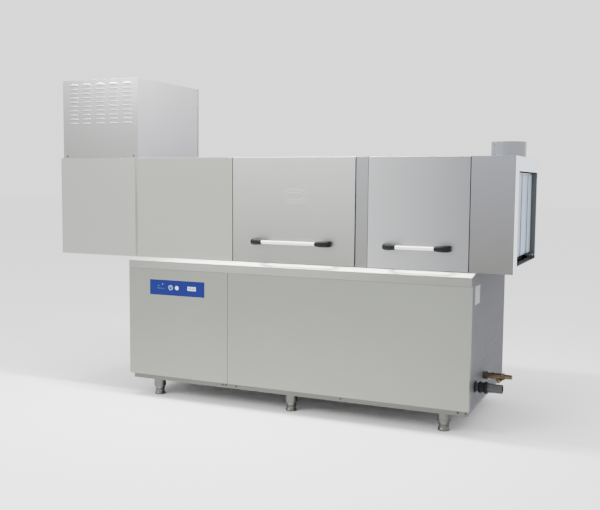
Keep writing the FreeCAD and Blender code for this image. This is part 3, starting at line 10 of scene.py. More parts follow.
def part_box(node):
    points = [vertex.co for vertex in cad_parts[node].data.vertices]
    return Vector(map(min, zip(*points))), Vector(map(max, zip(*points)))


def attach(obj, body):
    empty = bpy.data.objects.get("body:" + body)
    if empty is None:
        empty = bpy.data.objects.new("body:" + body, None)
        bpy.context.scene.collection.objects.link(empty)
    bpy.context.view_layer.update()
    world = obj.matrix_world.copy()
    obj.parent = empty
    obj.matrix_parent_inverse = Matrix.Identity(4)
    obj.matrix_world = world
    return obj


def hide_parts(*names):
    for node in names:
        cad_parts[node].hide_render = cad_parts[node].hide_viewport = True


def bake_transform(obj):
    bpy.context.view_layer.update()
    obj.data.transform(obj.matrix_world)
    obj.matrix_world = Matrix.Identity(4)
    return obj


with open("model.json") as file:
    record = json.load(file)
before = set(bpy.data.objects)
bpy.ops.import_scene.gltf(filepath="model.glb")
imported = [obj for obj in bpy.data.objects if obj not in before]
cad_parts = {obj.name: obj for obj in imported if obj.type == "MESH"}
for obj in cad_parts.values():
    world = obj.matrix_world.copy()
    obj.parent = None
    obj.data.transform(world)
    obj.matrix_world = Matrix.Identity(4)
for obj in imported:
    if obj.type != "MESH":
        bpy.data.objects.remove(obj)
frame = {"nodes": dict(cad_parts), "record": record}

random.seed(7)
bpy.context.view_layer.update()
NODES = frame["nodes"]

# the passage through the tunnel and its two end openings, in metres; shade is painted on faces
# within it
TUNNEL_X = (-1.2175, 1.2165)
TUNNEL_Y = (-0.3212, 0.2862)
TUNNEL_Z = (0.7225, 1.2345)

# levelling feet
FOOT_RADIUS = 0.0275
MIDDLE_FOOT_STEP = 0.761

# black mouldings that hold the handle tubes
MOULDING_LENGTH = 0.064
MOULDING_SIDES = 32

# control panel: half its width, and how far prints and keys stand proud of it
PANEL_HALF_WIDTH = 0.1615
PRINT_PROUD = 0.0002

# pressed double oval on the wash door
EMBLEM_CENTRE = (0.180, 1.045)

# louvres on the tower's front
LOUVRE_COLUMNS = (-1.1305, -1.0455, -0.9575, -0.8725, -0.7845)
LOUVRE_ROWS = 10
LOUVRE_TOP = 1.6245
LOUVRE_PITCH = 0.0225
LOUVRE_WIDTH = 0.062
LOUVRE_SHEET = 0.0007

# strip curtains
STRIPS = 6
STRIP_THICK = 0.0016
STRIP_OVERLAP = 0.014
STRIP_STAGGER = 0.0012

# door balance
CABLE_RADIUS = 0.00125
PULLEY_RADIUS = 0.016
CABLE_SIDES = 12

# camera: heading, pitch and roll in radians, lens in millimetres
CAMERA_PLACE = (1.8535, -3.9894, 1.1113)
CAMERA_YAW, CAMERA_PITCH, CAMERA_ROLL = 0.4214, -0.0853, 0.0082
CAMERA_LENS = 50.45
CAMERA_SENSOR = 36.0


# ---------------------------------------------------------------- material helpers
def new_material(name):
    """A node material, with its tree and its main shader."""
    mat = bpy.data.materials.new(name)
    mat.use_nodes = True
    tree = mat.node_tree
    return mat, tree, tree.nodes["Principled BSDF"]


def add(tree, kind, **inputs):
    """A new node with some of its inputs set; _ in a name stands for a space."""
    node = tree.nodes.new(kind)
    for key, value in inputs.items():
        node.inputs[key.replace("_", " ")].default_value = value
    return node


def math_node(tree, op, *values):
    """Arithmetic on numbers and sockets."""
    node = tree.nodes.new("ShaderNodeMath")
    node.operation = op
    for i, v in enumerate(values):
        if isinstance(v, (int, float)):
            node.inputs[i].default_value = v
        else:
            tree.links.new(v, node.inputs[i])
    return node.outputs[0]


def scaled_coords(tree, scale):
    """Object coordinates, stretched per axis."""
    coord = tree.nodes.new("ShaderNodeTexCoord")
    mapping = tree.nodes.new("ShaderNodeMapping")
    mapping.inputs["Scale"].default_value = scale
    tree.links.new(coord.outputs["Object"], mapping.inputs["Vector"])
    return mapping.outputs["Vector"]


def noise(tree, scale, size, detail=2.0):
    """Noise from 0 to 1 over object coordinates stretched by scale."""
    node = add(tree, "ShaderNodeTexNoise", Scale=size, Detail=detail)
    tree.links.new(scaled_coords(tree, scale), node.inputs["Vector"])
    return node.outputs["Fac"]


def split_object_coords(tree):
    """The object's x, y and z as three sockets."""
    coord = tree.nodes.new("ShaderNodeTexCoord")
    split = tree.nodes.new("ShaderNodeSeparateXYZ")
    tree.links.new(coord.outputs["Object"], split.inputs[0])
    return split.outputs


def even_tone(tree, base):
    """One colour as a socket."""
    tone = tree.nodes.new("ShaderNodeRGB")
    tone.outputs[0].default_value = (*base, 1)
    return tone.outputs[0]


def set_colour(tree, bsdf, colour, gain):
    """Base colour of the shader: a colour made lighter or darker by gain."""
    scale = tree.nodes.new("ShaderNodeVectorMath")
    scale.operation = "SCALE"
    tree.links.new(colour, scale.inputs[0])
    tree.links.new(gain, scale.inputs["Scale"])
    tree.links.new(scale.outputs["Vector"], bsdf.inputs["Base Color"])


def set_bump(tree, bsdf, height, strength, distance, edge=0.0):
    """Surface relief from a height socket; edge is the radius that corners seem rounded by."""
    bump = add(tree, "ShaderNodeBump", Strength=strength, Distance=distance)
    tree.links.new(height, bump.inputs["Height"])
    if edge:
        bevel = tree.nodes.new("ShaderNodeBevel")
        bevel.samples = 4
        bevel.inputs["Radius"].default_value = edge
        tree.links.new(bevel.outputs["Normal"], bump.inputs["Normal"])
    tree.links.new(bump.outputs["Normal"], bsdf.inputs["Normal"])


def painted_light_ramp(tree, base, painted_light_end, axis, low, high):
    """Painted light and shade: colour that shifts evenly from base to fall along one axis of the
    object.
    """
    span = tree.nodes.new("ShaderNodeMapRange")
    span.inputs["From Min"].default_value = low
    span.inputs["From Max"].default_value = high
    tree.links.new(split_object_coords(tree)[axis], span.inputs["Value"])
    mix = tree.nodes.new("ShaderNodeMix")
    mix.data_type = "RGBA"
    colour_a, colour_b, colour_out = 6, 7, 2
    mix.inputs[colour_a].default_value = (*base, 1)
    mix.inputs[colour_b].default_value = (*painted_light_end, 1)
    tree.links.new(span.outputs["Result"], mix.inputs[0])
    return mix.outputs[colour_out]


def tunnel_shade_mask(tree):
    """1 on faces within the tunnel and its end openings, 0 outside: where shade is painted."""
    spans = (TUNNEL_X, TUNNEL_Y, TUNNEL_Z)
    mask = None
    for value, (low, high) in zip(split_object_coords(tree), spans):
        both = math_node(tree, "MULTIPLY", math_node(tree, "GREATER_THAN", value, low),
                         math_node(tree, "LESS_THAN", value, high))
        mask = both if mask is None else math_node(tree, "MULTIPLY", mask, both)
    return mask


def upward_highlight_mask(tree):
    """1 on faces that look up, 0 on upright ones: where a highlight is painted."""
    geometry = tree.nodes.new("ShaderNodeNewGeometry")
    split = tree.nodes.new("ShaderNodeSeparateXYZ")
    tree.links.new(geometry.outputs["True Normal"], split.inputs[0])
    span = tree.nodes.new("ShaderNodeMapRange")
    span.inputs["From Min"].default_value = 0.4
    span.inputs["From Max"].default_value = 0.9
    tree.links.new(split.outputs["Z"], span.inputs["Value"])
    return span.outputs["Result"]


def brushed(name, base, rough=0.36, metallic=0.9, grain="x", depth=0.10, edge=0.0012,
            painted_light_end=None, painted_light_span=("Z", 0.72, 1.24), tunnel_shade=0.0, top=0.0, streak=0.10, smear=0.0,
            rim=1.0):
    """Satin-brushed stainless sheet: fine one-way grain, faint cloudiness, softened edges.

    fall is the colour at the far end of ramp (axis, start, end), for painted light and shade.
    inner paints shade on faces within the tunnel, and top paints a highlight on faces that look
    up. smear is how far the brushing draws out reflections.
    rim is the brightness of the metal seen at a grazing angle.
    """
    mat, tree, bsdf = new_material(name)
    stretch = {"x": (4, 260, 260), "z": (260, 260, 4), "y": (260, 4, 260)}[grain]
    fine = noise(tree, stretch, 5.0, 3.0)
    cloud = noise(tree, (1, 1, 1), 2.2, 2.0)
    rub = noise(tree, (3, 3, 9), 3.0, 4.0)
    # one even colour, or a painted light-and-shade gradient along one axis
    colour = even_tone(tree, base) if painted_light_end is None else painted_light_ramp(tree, base, painted_light_end, *painted_light_span)
    shade = math_node(tree, "MULTIPLY_ADD", fine, streak, 1.0 - streak / 2)
    cloudy = math_node(tree, "MULTIPLY_ADD", cloud, 0.10, 0.95)
    gain = math_node(tree, "MULTIPLY", shade, cloudy)
    # painted shade: darken faces within the tunnel
    if tunnel_shade:
        tunnel_shade_gain = math_node(tree, "MULTIPLY_ADD", tunnel_shade_mask(tree), -tunnel_shade, 1.0)
        gain = math_node(tree, "MULTIPLY", gain, tunnel_shade_gain)
    # painted highlight: lighten faces that look up
    if top:
        top_highlight_gain = math_node(tree, "MULTIPLY_ADD", upward_highlight_mask(tree), top, 1.0)
        gain = math_node(tree, "MULTIPLY", gain, top_highlight_gain)
    set_colour(tree, bsdf, colour, gain)
    wear = math_node(tree, "MULTIPLY_ADD", rub, 0.10, rough - 0.05)
    tree.links.new(wear, bsdf.inputs["Roughness"])
    bsdf.inputs["Metallic"].default_value = metallic
    bsdf.inputs["Specular Tint"].default_value = (rim, rim, rim, 1)
    if smear:
        tangent = tree.nodes.new("ShaderNodeTangent")
        tangent.direction_type = "RADIAL"
        tangent.axis = "X"
        tree.links.new(tangent.outputs[0], bsdf.inputs["Tangent"])
        bsdf.inputs["Anisotropic"].default_value = smear
    set_bump(tree, bsdf, fine, depth, 0.0004, edge)
    return mat


def plain(name, base, rough=0.5, metallic=0.0, grit=0.02, edge=0.0, gloss=0.5):
    """Moulded or painted surface with a fine texture and slight unevenness."""
    mat, tree, bsdf = new_material(name)
    bsdf.inputs["Specular IOR Level"].default_value = gloss
    fine = noise(tree, (1, 1, 1), 400.0, 3.0)
    cloud = noise(tree, (1, 1, 1), 9.0, 3.0)
    set_colour(tree, bsdf, even_tone(tree, base),
               math_node(tree, "MULTIPLY_ADD", cloud, 0.16, 0.92))
    rub = math_node(tree, "MULTIPLY_ADD", cloud, 0.14, rough - 0.07)
    tree.links.new(rub, bsdf.inputs["Roughness"])
    bsdf.inputs["Metallic"].default_value = metallic
    set_bump(tree, bsdf, fine, grit * 10, 0.0003, edge)
    return mat


def strip_material(name, base):
    """Cloudy soft PVC strip: lets a little light through, faint vertical streaks."""
    mat, tree, bsdf = new_material(name)
    streak = noise(tree, (30, 30, 2), 3.0, 3.0)
    set_colour(tree, bsdf, even_tone(tree, base),
               math_node(tree, "MULTIPLY_ADD", streak, 0.14, 0.92))
    bsdf.inputs["Roughness"].default_value = 0.32
    bsdf.inputs["Transmission Weight"].default_value = 0.12
    bsdf.inputs["IOR"].default_value = 1.45
    set_bump(tree, bsdf, streak, 0.15, 0.002)
    return mat


# ---------------------------------------------------------------- finishes
MATS = {
    # painted shade on faces within the tunnel
    "stainless": brushed("inner_stainless", (0.36, 0.36, 0.355), rough=0.42, tunnel_shade=0.45),
    # dark copies of the steel: painted shade and dark reflections low under the cabinet
    "feet": brushed("foot_stainless", (0.100, 0.101, 0.094), rough=0.24, grain="z", depth=0.04),
    "frame_steel": brushed("frame_sheet", (0.088, 0.090, 0.083), rough=0.30, grain="x"),
    "panel_steel": brushed("front_panel_sheet", (0.210, 0.220, 0.194), rough=0.46, grain="x"),
    # darker copy of the steel, its grazing tint lowered too: painted shade on the cabinet's sides
    "side_steel": brushed("side_panel_shaded_sheet", (0.268, 0.272, 0.293), rough=0.46, metallic=1.0,
                          grain="y", rim=0.2),
    # painted highlight on the ledge's upward faces
    "ledge_steel": brushed("ledge_highlight_sheet", (0.235, 0.236, 0.222), rough=0.42, metallic=1.0,
                           grain="x", top=2.8, smear=1.0),
    # painted shade on faces within the tunnel
    "hood_steel": brushed("hood_sheet", (0.33, 0.33, 0.318), rough=0.44, grain="z", tunnel_shade=0.6),
    "fixed_steel": brushed("fixed_panel_sheet", (0.312, 0.317, 0.283), rough=0.44, grain="z"),
    # painted light-and-shade gradient, darker towards the bottom, and painted shade within the
    # tunnel
    "vestibule_steel": brushed("vestibule_sheet", (0.137, 0.137, 0.132), rough=0.44, grain="z",
                               painted_light_end=(0.215, 0.217, 0.243), tunnel_shade=0.81),
    # painted light-and-shade gradients: lighter towards the top, on the prewash door towards its
    # left end
    "pillar_steel": brushed("pillar_sheet", (0.185, 0.187, 0.178), rough=0.44, grain="z",
                            painted_light_end=(0.245, 0.248, 0.264)),
    "wash_door_steel": brushed("wash_door_sheet", (0.245, 0.248, 0.230), rough=0.38, grain="z",
                               painted_light_end=(0.445, 0.445, 0.438), streak=0.16),
    "prewash_door_steel": brushed("prewash_door_sheet", (0.375, 0.378, 0.390), rough=0.38,
                                  grain="z", painted_light_end=(0.222, 0.225, 0.232),
                                  painted_light_span=("X", 0.55, 1.02), streak=0.16),
    "tower_steel": brushed("tower_sheet", (0.29, 0.29, 0.285), rough=0.44, grain="x",
                           painted_light_end=(0.37, 0.37, 0.37), painted_light_span=("Z", 1.24, 1.65)),
    "tower_side_steel": brushed("tower_side_sheet", (0.355, 0.352, 0.395), rough=0.44, grain="z",
                                painted_light_end=(0.51, 0.51, 0.515), painted_light_span=("Z", 1.24, 1.65)),
    # lighter copy of the tower steel: painted highlight on the pressed louvres
    "louvre_steel": brushed("louvre_highlight_sheet", (0.46, 0.46, 0.455), rough=0.50, grain="x", edge=0),
    "seam_steel": brushed("seam_sheet", (0.22, 0.22, 0.22), rough=0.40, grain="z"),
    # painted shade on faces within the tunnel
    "bright_steel": brushed("end_frame_sheet", (0.90, 0.94, 0.99), rough=0.40, metallic=0.35,
                            grain="y", tunnel_shade=0.91),
    "collar_steel": brushed("collar_sheet", (0.22, 0.232, 0.255), rough=0.22, grain="z",
                            streak=0.3),
    "galvanised": brushed("galvanised_sheet", (0.30, 0.315, 0.33), rough=0.50, depth=0.2),
    "shaft_steel": brushed("turned_steel", (0.40, 0.40, 0.40), rough=0.30, edge=0),
    "cable_steel": brushed("cable_wire", (0.30, 0.30, 0.30), rough=0.40, edge=0),
    "element_steel": brushed("element_sheath", (0.20, 0.18, 0.165), rough=0.45, edge=0),
    "screw_steel": brushed("screw_steel", (0.045, 0.045, 0.045), rough=0.30, edge=0),
    "membrane_blue": plain("blue_membrane", (0.005, 0.0105, 0.105), rough=0.55, edge=0.0006,
                           gloss=0.12),
    "key_white": plain("key_plastic", (0.55, 0.62, 0.74), rough=0.35),
    "display_grey": plain("display_segment", (0.10, 0.14, 0.28), rough=0.4),
    "lamp_blue": plain("lamp_blue", (0.08, 0.20, 0.55), rough=0.3),
    "lamp_green": plain("lamp_green", (0.03, 0.18, 0.12), rough=0.3),
    "label_pale": plain("label_pale", (0.24, 0.26, 0.27), rough=0.5),
    "handle_tube": brushed("handle_tube_metal", (0.80, 0.79, 0.76), rough=0.30, metallic=0.35,
                           edge=0),
    "handle_black": plain("handle_moulding", (0.0045, 0.0048, 0.0052), rough=0.45, grit=0.04,
                          gloss=0.15),
    "shoe_polymer": plain("shoe_polymer", (0.40, 0.40, 0.38), rough=0.5),
    "weight_iron": plain("cast_iron", (0.04, 0.04, 0.04), rough=0.7, metallic=0.3, grit=0.08),
    "motor_grey": plain("motor_enamel", (0.07, 0.08, 0.09), rough=0.45, grit=0.05),
    "curtain_strip": strip_material("curtain_pvc", (0.335, 0.445, 0.565)),
    "brass_fitting": plain("brass_casting", (0.115, 0.090, 0.055), rough=0.26, metallic=0.85,
                           grit=0.06, edge=0.0008),
    "pvc_grey": plain("waste_pipe_plastic", (0.032, 0.033, 0.038), rough=0.48, grit=0.03,
                      gloss=0.3),
    "pvc_black": plain("nut_plastic", (0.004, 0.004, 0.005), rough=0.5, grit=0.04, gloss=0.15),
}

# nodes whose finish differs in tone from that of their record slot: lit and shaded copies of the
# steel that paint how light falls on each part
PAINTED_LIGHT_FINISHES = {
    "base_frame": "frame_steel",
    "side_panel_right": "side_steel",
    "side_panel_left": "side_steel",
    "rear_panel": "panel_steel",
    "tunnel_front_panel": "fixed_steel",
    "vestibule_shell": "vestibule_steel",
    "centre_pillar": "pillar_steel",
    "wash_door": "wash_door_steel",
    "prewash_door": "prewash_door_steel",
    "tower_shell": "tower_side_steel",
}


def dress_cad_nodes():
    """Give each CAD node its slot's finish, or the lit or shaded copy in PAINTED_LIGHT_FINISHES."""
    slots = {s["node"]: s["material_slot"] for s in frame["record"]["subparts"]}
    for name, node in NODES.items():
        mat = MATS[PAINTED_LIGHT_FINISHES.get(name, slots[name])]
        node.data.materials.clear()
        node.data.materials.append(mat)


# ---------------------------------------------------------------- mesh helpers
def finish_piece(name, bm, slot, body, smooth=35.0, replaces=()):
    """Turn a bmesh into a named piece on a body; smooth is the sharp-edge angle in degrees."""
    mesh = bpy.data.meshes.new(name)
    bmesh.ops.recalc_face_normals(bm, faces=bm.faces)
    bm.to_mesh(mesh)
    bm.free()
    obj = bpy.data.objects.new(name, mesh)
    bpy.context.scene.collection.objects.link(obj)
    mesh.materials.append(MATS[slot])
    if smooth:
        for poly in mesh.polygons:
            poly.use_smooth = True
        mesh.set_sharp_from_angle(angle=math.radians(smooth))
    if body:
        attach(obj, body)
    if replaces:
        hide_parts(*replaces)
    return obj


def box_into(bm, lo, hi, radius=0.0, segments=3):
    """Box between two corners, its edges rounded."""
    geo = bmesh.ops.create_cube(bm, size=1.0)
    size = [hi[i] - lo[i] for i in range(3)]
    mid = [(hi[i] + lo[i]) / 2 for i in range(3)]
    bmesh.ops.scale(bm, vec=size, verts=geo["verts"])
    bmesh.ops.translate(bm, vec=mid, verts=geo["verts"])
    if radius > 0:
        edges = list({e for v in geo["verts"] for e in v.link_edges})
        bmesh.ops.bevel(bm, geom=edges, offset=radius, segments=segments, profile=0.5,
                        affect="EDGES")


def lathe_into(bm, outline, centre, axis="z", steps=64):
    """Turn an outline of (radius, height) about an axis through centre."""
    turn = {"z": Matrix.Identity(3),
            "x": Matrix(((0, 0, 1), (1, 0, 0), (0, 1, 0))),
            "y": Matrix(((0, 1, 0), (0, 0, 1), (1, 0, 0)))}[axis]
    rings = []
    for k in range(steps):
        a = 2 * math.pi * k / steps
        ring = [bm.verts.new(Vector(centre) + turn @ Vector((r * math.cos(a), r * math.sin(a), h)))
                for r, h in outline]
        rings.append(ring)
    for k in range(steps):
        a, b = rings[k], rings[(k + 1) % steps]
        for i in range(len(outline) - 1):
            bm.faces.new((a[i], b[i], b[i + 1], a[i + 1]))
    bmesh.ops.remove_doubles(bm, verts=bm.verts, dist=1e-6)


def loft_into(bm, sections):
    """Join closed rings of points, capping both ends."""
    rings = [[bm.verts.new(p) for p in ring] for ring in sections]
    count = len(rings[0])
    for a, b in zip(rings, rings[1:]):
        for i in range(count):
            j = (i + 1) % count
            bm.faces.new((a[i], a[j], b[j], b[i]))
    bm.faces.new(rings[0][::-1])
    bm.faces.new(rings[-1])


def smooth_path(points, count):
    """Even points along a Catmull-Rom line; each point is (x, y, half width, half height)."""
    pts = [points[0]] + list(points) + [points[-1]]
    out = []
    spans = len(points) - 1
    for k in range(count + 1):
        t = k / count * spans
        i = min(int(t), spans - 1)
        f = t - i
        p0, p1, p2, p3 = pts[i], pts[i + 1], pts[i + 2], pts[i + 3]
        row = []
        for a, b, c, d in zip(p0, p1, p2, p3):
            row.append(0.5 * (2 * b + (c - a) * f + (2 * a - 5 * b + 4 * c - d) * f * f
                              + (3 * b - a - 3 * c + d) * f ** 3))
        out.append(row)
    return out


# ---------------------------------------------------------------- handles
def handle(prefix, body):
    """Bright tube held by two swept black mouldings."""
    lo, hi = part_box(prefix + "_handle_brackets")
    tube_lo, tube_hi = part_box(prefix + "_handle_tube")
    z = (lo.z + hi.z) / 2
    door_y = hi.y
    tube_y = (tube_lo.y + tube_hi.y) / 2
    r = (tube_hi.y - tube_lo.y) / 2
    long = MOULDING_LENGTH
    outline = [(0.003, door_y - 0.001, 0.0030, 0.0125), (0.004, door_y - 0.010, 0.0085, 0.0140),
               (0.012, tube_y + 0.016, 0.0125, 0.0148), (0.027, tube_y + 0.004, 0.0122, 0.0150),
               (0.045, tube_y + 0.0005, 0.0117, 0.0140), (long - 0.004, tube_y, 0.0112, 0.0122),
               (long, tube_y, 0.0104, 0.0112)]
    bm = bmesh.new()
    for x_outer, side in ((lo.x, 1), (hi.x, -1)):
        rows = smooth_path(outline, 40)
        rings = []
        for k, (x, y, half_w, half_h) in enumerate(rows):
            a = rows[max(k - 1, 0)]
            b = rows[min(k + 1, len(rows) - 1)]
            tangent = Vector((b[0] - a[0], b[1] - a[1], 0)).normalized()
            if k == 0:
                tangent = Vector((0, -1, 0))
            normal = Vector((-tangent.y, tangent.x, 0))
            ring = []
            for n in range(MOULDING_SIDES):
                ang = 2 * math.pi * n / MOULDING_SIDES
                c, s = math.cos(ang), math.sin(ang)
                u = math.copysign(abs(c) ** 0.92, c) * half_w
                v = math.copysign(abs(s) ** 0.92, s) * half_h
                px = x + normal.x * u
                py = min(y + normal.y * u, door_y)
                ring.append(Vector((x_outer + side * max(px, 0.0), py, z + v)))
            rings.append(ring)
        loft_into(bm, rings)
        foot_a = x_outer + side * 0.001
        foot_b = x_outer + side * 0.034
        box_into(bm, (min(foot_a, foot_b), door_y - 0.010, z - 0.0130),
                 (max(foot_a, foot_b), door_y + 0.004, z + 0.0130), 0.0095, 6)
    finish_piece(prefix + "_handle_mouldings", bm, "handle_black", body, 50.0,
                 (prefix + "_handle_brackets",))
    bm = bmesh.new()
    length = tube_hi.x - tube_lo.x
    lathe_into(bm, [(0.0, 0.0), (r, 0.0), (r, length), (0.0, length)],
               (tube_lo.x, tube_y, z), "x", 48)
    finish_piece(prefix + "_handle_bar", bm, "handle_tube", body, 50.0,
                 (prefix + "_handle_tube",))
    bm = bmesh.new()
    for x0 in (lo.x + long - 0.001, hi.x - long - 0.004):
        lathe_into(bm, [(r + 0.0002, 0.0), (r + 0.0016, 0.0005), (r + 0.0016, 0.0045),
                        (r + 0.0002, 0.005)], (x0, tube_y, z), "x", 48)
    finish_piece(prefix + "_handle_end_rings", bm, "handle_black", body, 50.0)


# ---------------------------------------------------------------- feet
def feet():
    """Six turned feet, and the rolled lip at the lower end of each leg sleeve."""
    bm = bmesh.new()
    lo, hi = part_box("levelling_feet")
    base = FOOT_RADIUS
    xs = (lo.x + base, lo.x + base + MIDDLE_FOOT_STEP, hi.x - base)
    outline = [(0.0, 0.0), (base - 0.0015, 0.0), (base, 0.0015), (base, 0.008),
               (base - 0.0006, 0.0095), (0.0242, 0.0130), (0.0232, 0.017), (0.0232, 0.027),
               (0.0236, 0.0285), (0.0249, 0.030), (0.0249, 0.0810), (0.0, 0.0812)]
    for x in xs:
        for y in (lo.y + base, hi.y - base):
            lathe_into(bm, outline, (x, y, 0.0))
    finish_piece("bullet_feet", bm, "feet", "feet_body", 30.0, ("levelling_feet",))
    bm = bmesh.new()
    lip = [(0.0306, 0.0448), (0.0311, 0.0454), (0.0311, 0.0500), (0.0306, 0.0506)]
    for x in xs:
        for y in (lo.y + base, hi.y - base):
            lathe_into(bm, lip, (x, y, 0.0))
    finish_piece("sleeve_lips", bm, "feet", "machine", 30.0)


# ---------------------------------------------------------------- controls
def ring_into(bm, centre, r_in, r_out, y0, y1):
    """Flat ring about the y axis, from y0 to y1."""
    lathe_into(bm, [(r_in, 0.0), (r_out, 0.0), (r_out, y1 - y0), (r_in, y1 - y0), (r_in, 0.0)],
               (centre[0], y0, centre[1]), "y", 48)


def lamp(name, place, slot):
    """Small domed indicator lamp on the panel."""
    bm = bmesh.new()
    lathe_into(bm, [(0.0, -0.0006), (0.0024, -0.0004), (0.0030, 0.0), (0.0030, 0.0004)],
               place, "y", 24)
    finish_piece(name, bm, slot, "machine", 60.0)


def control_panel():
    """Two key caps, a plain display window, two lamps and printed rules on the membrane."""
    lo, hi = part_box("control_panel")
    face = lo.y
    ring_lo, ring_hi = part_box("ring_key")
    round_lo, round_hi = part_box("round_key")
    z = (round_lo.z + round_hi.z) / 2
    x_ring = (ring_lo.x + ring_hi.x) / 2
    x_round = (round_lo.x + round_hi.x) / 2
    key_face = round_lo.y
    bm = bmesh.new()
    lathe_into(bm, [(0.0, -0.0002), (0.0088, -0.0002), (0.0096, 0.0004), (0.0096, 0.0012),
                    (0.0, 0.0012)], (x_round, key_face, z), "y", 48)
    finish_piece("round_key_cap", bm, "key_white", "round_key_body", 40.0)
    bm = bmesh.new()
    ring_into(bm, (x_ring, z), 0.0092, 0.0108, key_face - 0.00015, key_face + 0.0006)
    box_into(bm, (x_ring - 0.0010, key_face - 0.00015, z + 0.0015),
             (x_ring + 0.0010, key_face + 0.0006, z + 0.0075))
    finish_piece("ring_key_symbol", bm, "key_white", "ring_key_body", 40.0)
    bm = bmesh.new()
    lathe_into(bm, [(0.0, 0.0), (0.0126, 0.0), (0.0126, 0.0008), (0.0, 0.0008)],
               (x_ring, key_face - 0.00005, z), "y", 48)
    finish_piece("ring_key_cap", bm, "membrane_blue", "ring_key_body", 40.0)
    left = (lo.x + hi.x) / 2 - PANEL_HALF_WIDTH
    bm = bmesh.new()
    box_into(bm, (left + 0.224, face - 0.00025, z - 0.009),
             (left + 0.272, face + PRINT_PROUD, z + 0.010), 0.0001, 1)
    finish_piece("display_window", bm, "key_white", "machine", 40.0)
    bm = bmesh.new()
    for k in range(4):
        x0 = left + 0.229 + 0.0105 * k
        box_into(bm, (x0, face - 0.0004, z - 0.005), (x0 + 0.007, face - 0.0002, z + 0.006))
    finish_piece("display_segments", bm, "display_grey", "machine", 0)
    lamp("blue_lamp", (left + 0.076, face, z + 0.016), "lamp_blue")
    lamp("green_lamp", (left + 0.052, face, z + 0.007), "lamp_green")
    bm = bmesh.new()
    for x0, long in ((0.040, 0.026), (0.066, 0.022)):
        box_into(bm, (left + x0, face - PRINT_PROUD, z - 0.006),
                 (left + x0 + long, face + PRINT_PROUD, z - 0.0052))
    finish_piece("printed_rules", bm, "lamp_blue", "machine", 0)


def rating_label():
    """Blank pale label on the right side of the cabinet."""
    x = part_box("side_panel_right")[1].x
    y0, wide = -0.313, 0.098
    z0, high = 0.580, 0.083
    bm = bmesh.new()
    box_into(bm, (x - 0.0002, y0, z0), (x + 0.0006, y0 + wide, z0 + high), 0.0002, 1)
    finish_piece("blank_label", bm, "label_pale", "machine", 0)


def oval_rib(bm, centre, half_x, half_z, wide, out, face):
    """Rounded oval rib of a width and height, standing out from a face at y."""
    steps = 96
    across = ((0.0, -0.0001), (0.25, 0.7), (0.5, 1.0), (0.75, 0.7), (1.0, -0.0001))
    rings = []
    for k in range(steps):
        a = 2 * math.pi * k / steps
        ring = []
        for part, height in across:
            inset = part * wide
            ring.append(bm.verts.new((centre[0] + (half_x - inset) * math.cos(a),
                                      face - out * height,
                                      centre[1] + (half_z - inset) * math.sin(a))))
        rings.append(ring)
    for k in range(steps):
        a, b = rings[k], rings[(k + 1) % steps]
        for i in range(len(across) - 1):
            bm.faces.new((a[i], b[i], b[i + 1], a[i + 1]))


def door_emboss():
    """Plain double oval pressed into the wash door, with no lettering."""
    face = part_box("wash_door")[0].y
    bm = bmesh.new()
    oval_rib(bm, EMBLEM_CENTRE, 0.078, 0.040, 0.014, 0.0006, face)
    oval_rib(bm, EMBLEM_CENTRE, 0.056, 0.024, 0.011, 0.0005, face)
    finish_piece("oval_emboss", bm, "wash_door_steel", "wash_door_body", 80.0)


# ---------------------------------------------------------------- tower
def louvre_into(bm, x, z, face, wide):
    """One lens-shaped louvre, closed along its top and open along its lower edge."""
    steps, across = 16, 8
    grid = []
    for a in range(steps + 1):
        t = a / steps
        arch = max(math.sin(math.pi * t), 0.0) ** 0.5
        high = 0.0105 * arch + 0.0004
        line = []
        for b in range(across + 1):
            u = b / across
            out = 0.0042 * arch * math.sin(math.pi * 0.5 * u) ** 1.2
            line.append(bm.verts.new((x - wide / 2 + wide * t, face - 0.0002 - out,
                                      z - 0.0050 + high * (1 - u))))
        grid.append(line)
    for a in range(steps):
        for b in range(across):
            bm.faces.new((grid[a][b], grid[a + 1][b], grid[a + 1][b + 1], grid[a][b + 1]))


def tower_front():
    """Flat front sheet with five columns of ten pressed louvres and, under each, a dark strip of
    painted shade.
    """
    lo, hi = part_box("tower_front")
    face = hi.y - 0.0015
    bm = bmesh.new()
    box_into(bm, (lo.x, face, lo.z), (hi.x, hi.y, hi.z), 0.0005)
    finish_piece("tower_front_sheet", bm, "tower_steel", "machine", 30.0, ("tower_front",))
    hoods = bmesh.new()
    shade_strips = bmesh.new()
    for x in LOUVRE_COLUMNS:
        for row in range(LOUVRE_ROWS):
            z = LOUVRE_TOP - LOUVRE_PITCH * row
            louvre_into(hoods, x, z, face, LOUVRE_WIDTH)
            # dark strip of painted shade along the louvre's open lower edge
            box_into(shade_strips, (x - 0.028, face - 0.0004, z - 0.0062),
                     (x + 0.028, face - 0.0001, z - 0.0040))
    press = finish_piece("tower_louvres", hoods, "louvre_steel", "machine", 60.0)
    skin = press.modifiers.new("sheet", "SOLIDIFY")
    skin.thickness = LOUVRE_SHEET
    skin.offset = 1
    finish_piece("louvre_shade_strips", shade_strips, "seam_steel", "machine", 0)


def tower_seam():
    """Folded edge of the tower's rear panel, lapping round its back corner."""
    lo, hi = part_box("tower_shell")
    bm = bmesh.new()
    box_into(bm, (hi.x - 0.012, hi.y - 0.0120, lo.z + 0.001),
             (hi.x + 0.0012, hi.y + 0.0006, hi.z), 0.0005)
    finish_piece("tower_rear_fold", bm, "seam_steel", "machine", 40.0)


def module_joint():
    """Cover strip over the joint between the dryer module and the tunnel."""
    lo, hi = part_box("tunnel_front_panel")
    x = (lo.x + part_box("dryer_module_shell")[1].x) / 2
    bm = bmesh.new()
    box_into(bm, (x - 0.003, lo.y - 0.0010, lo.z + 0.001),
             (x + 0.009, lo.y + 0.0004, hi.z - 0.001), 0.0004)
    finish_piece("module_joint_strip", bm, "seam_steel", "machine", 40.0)


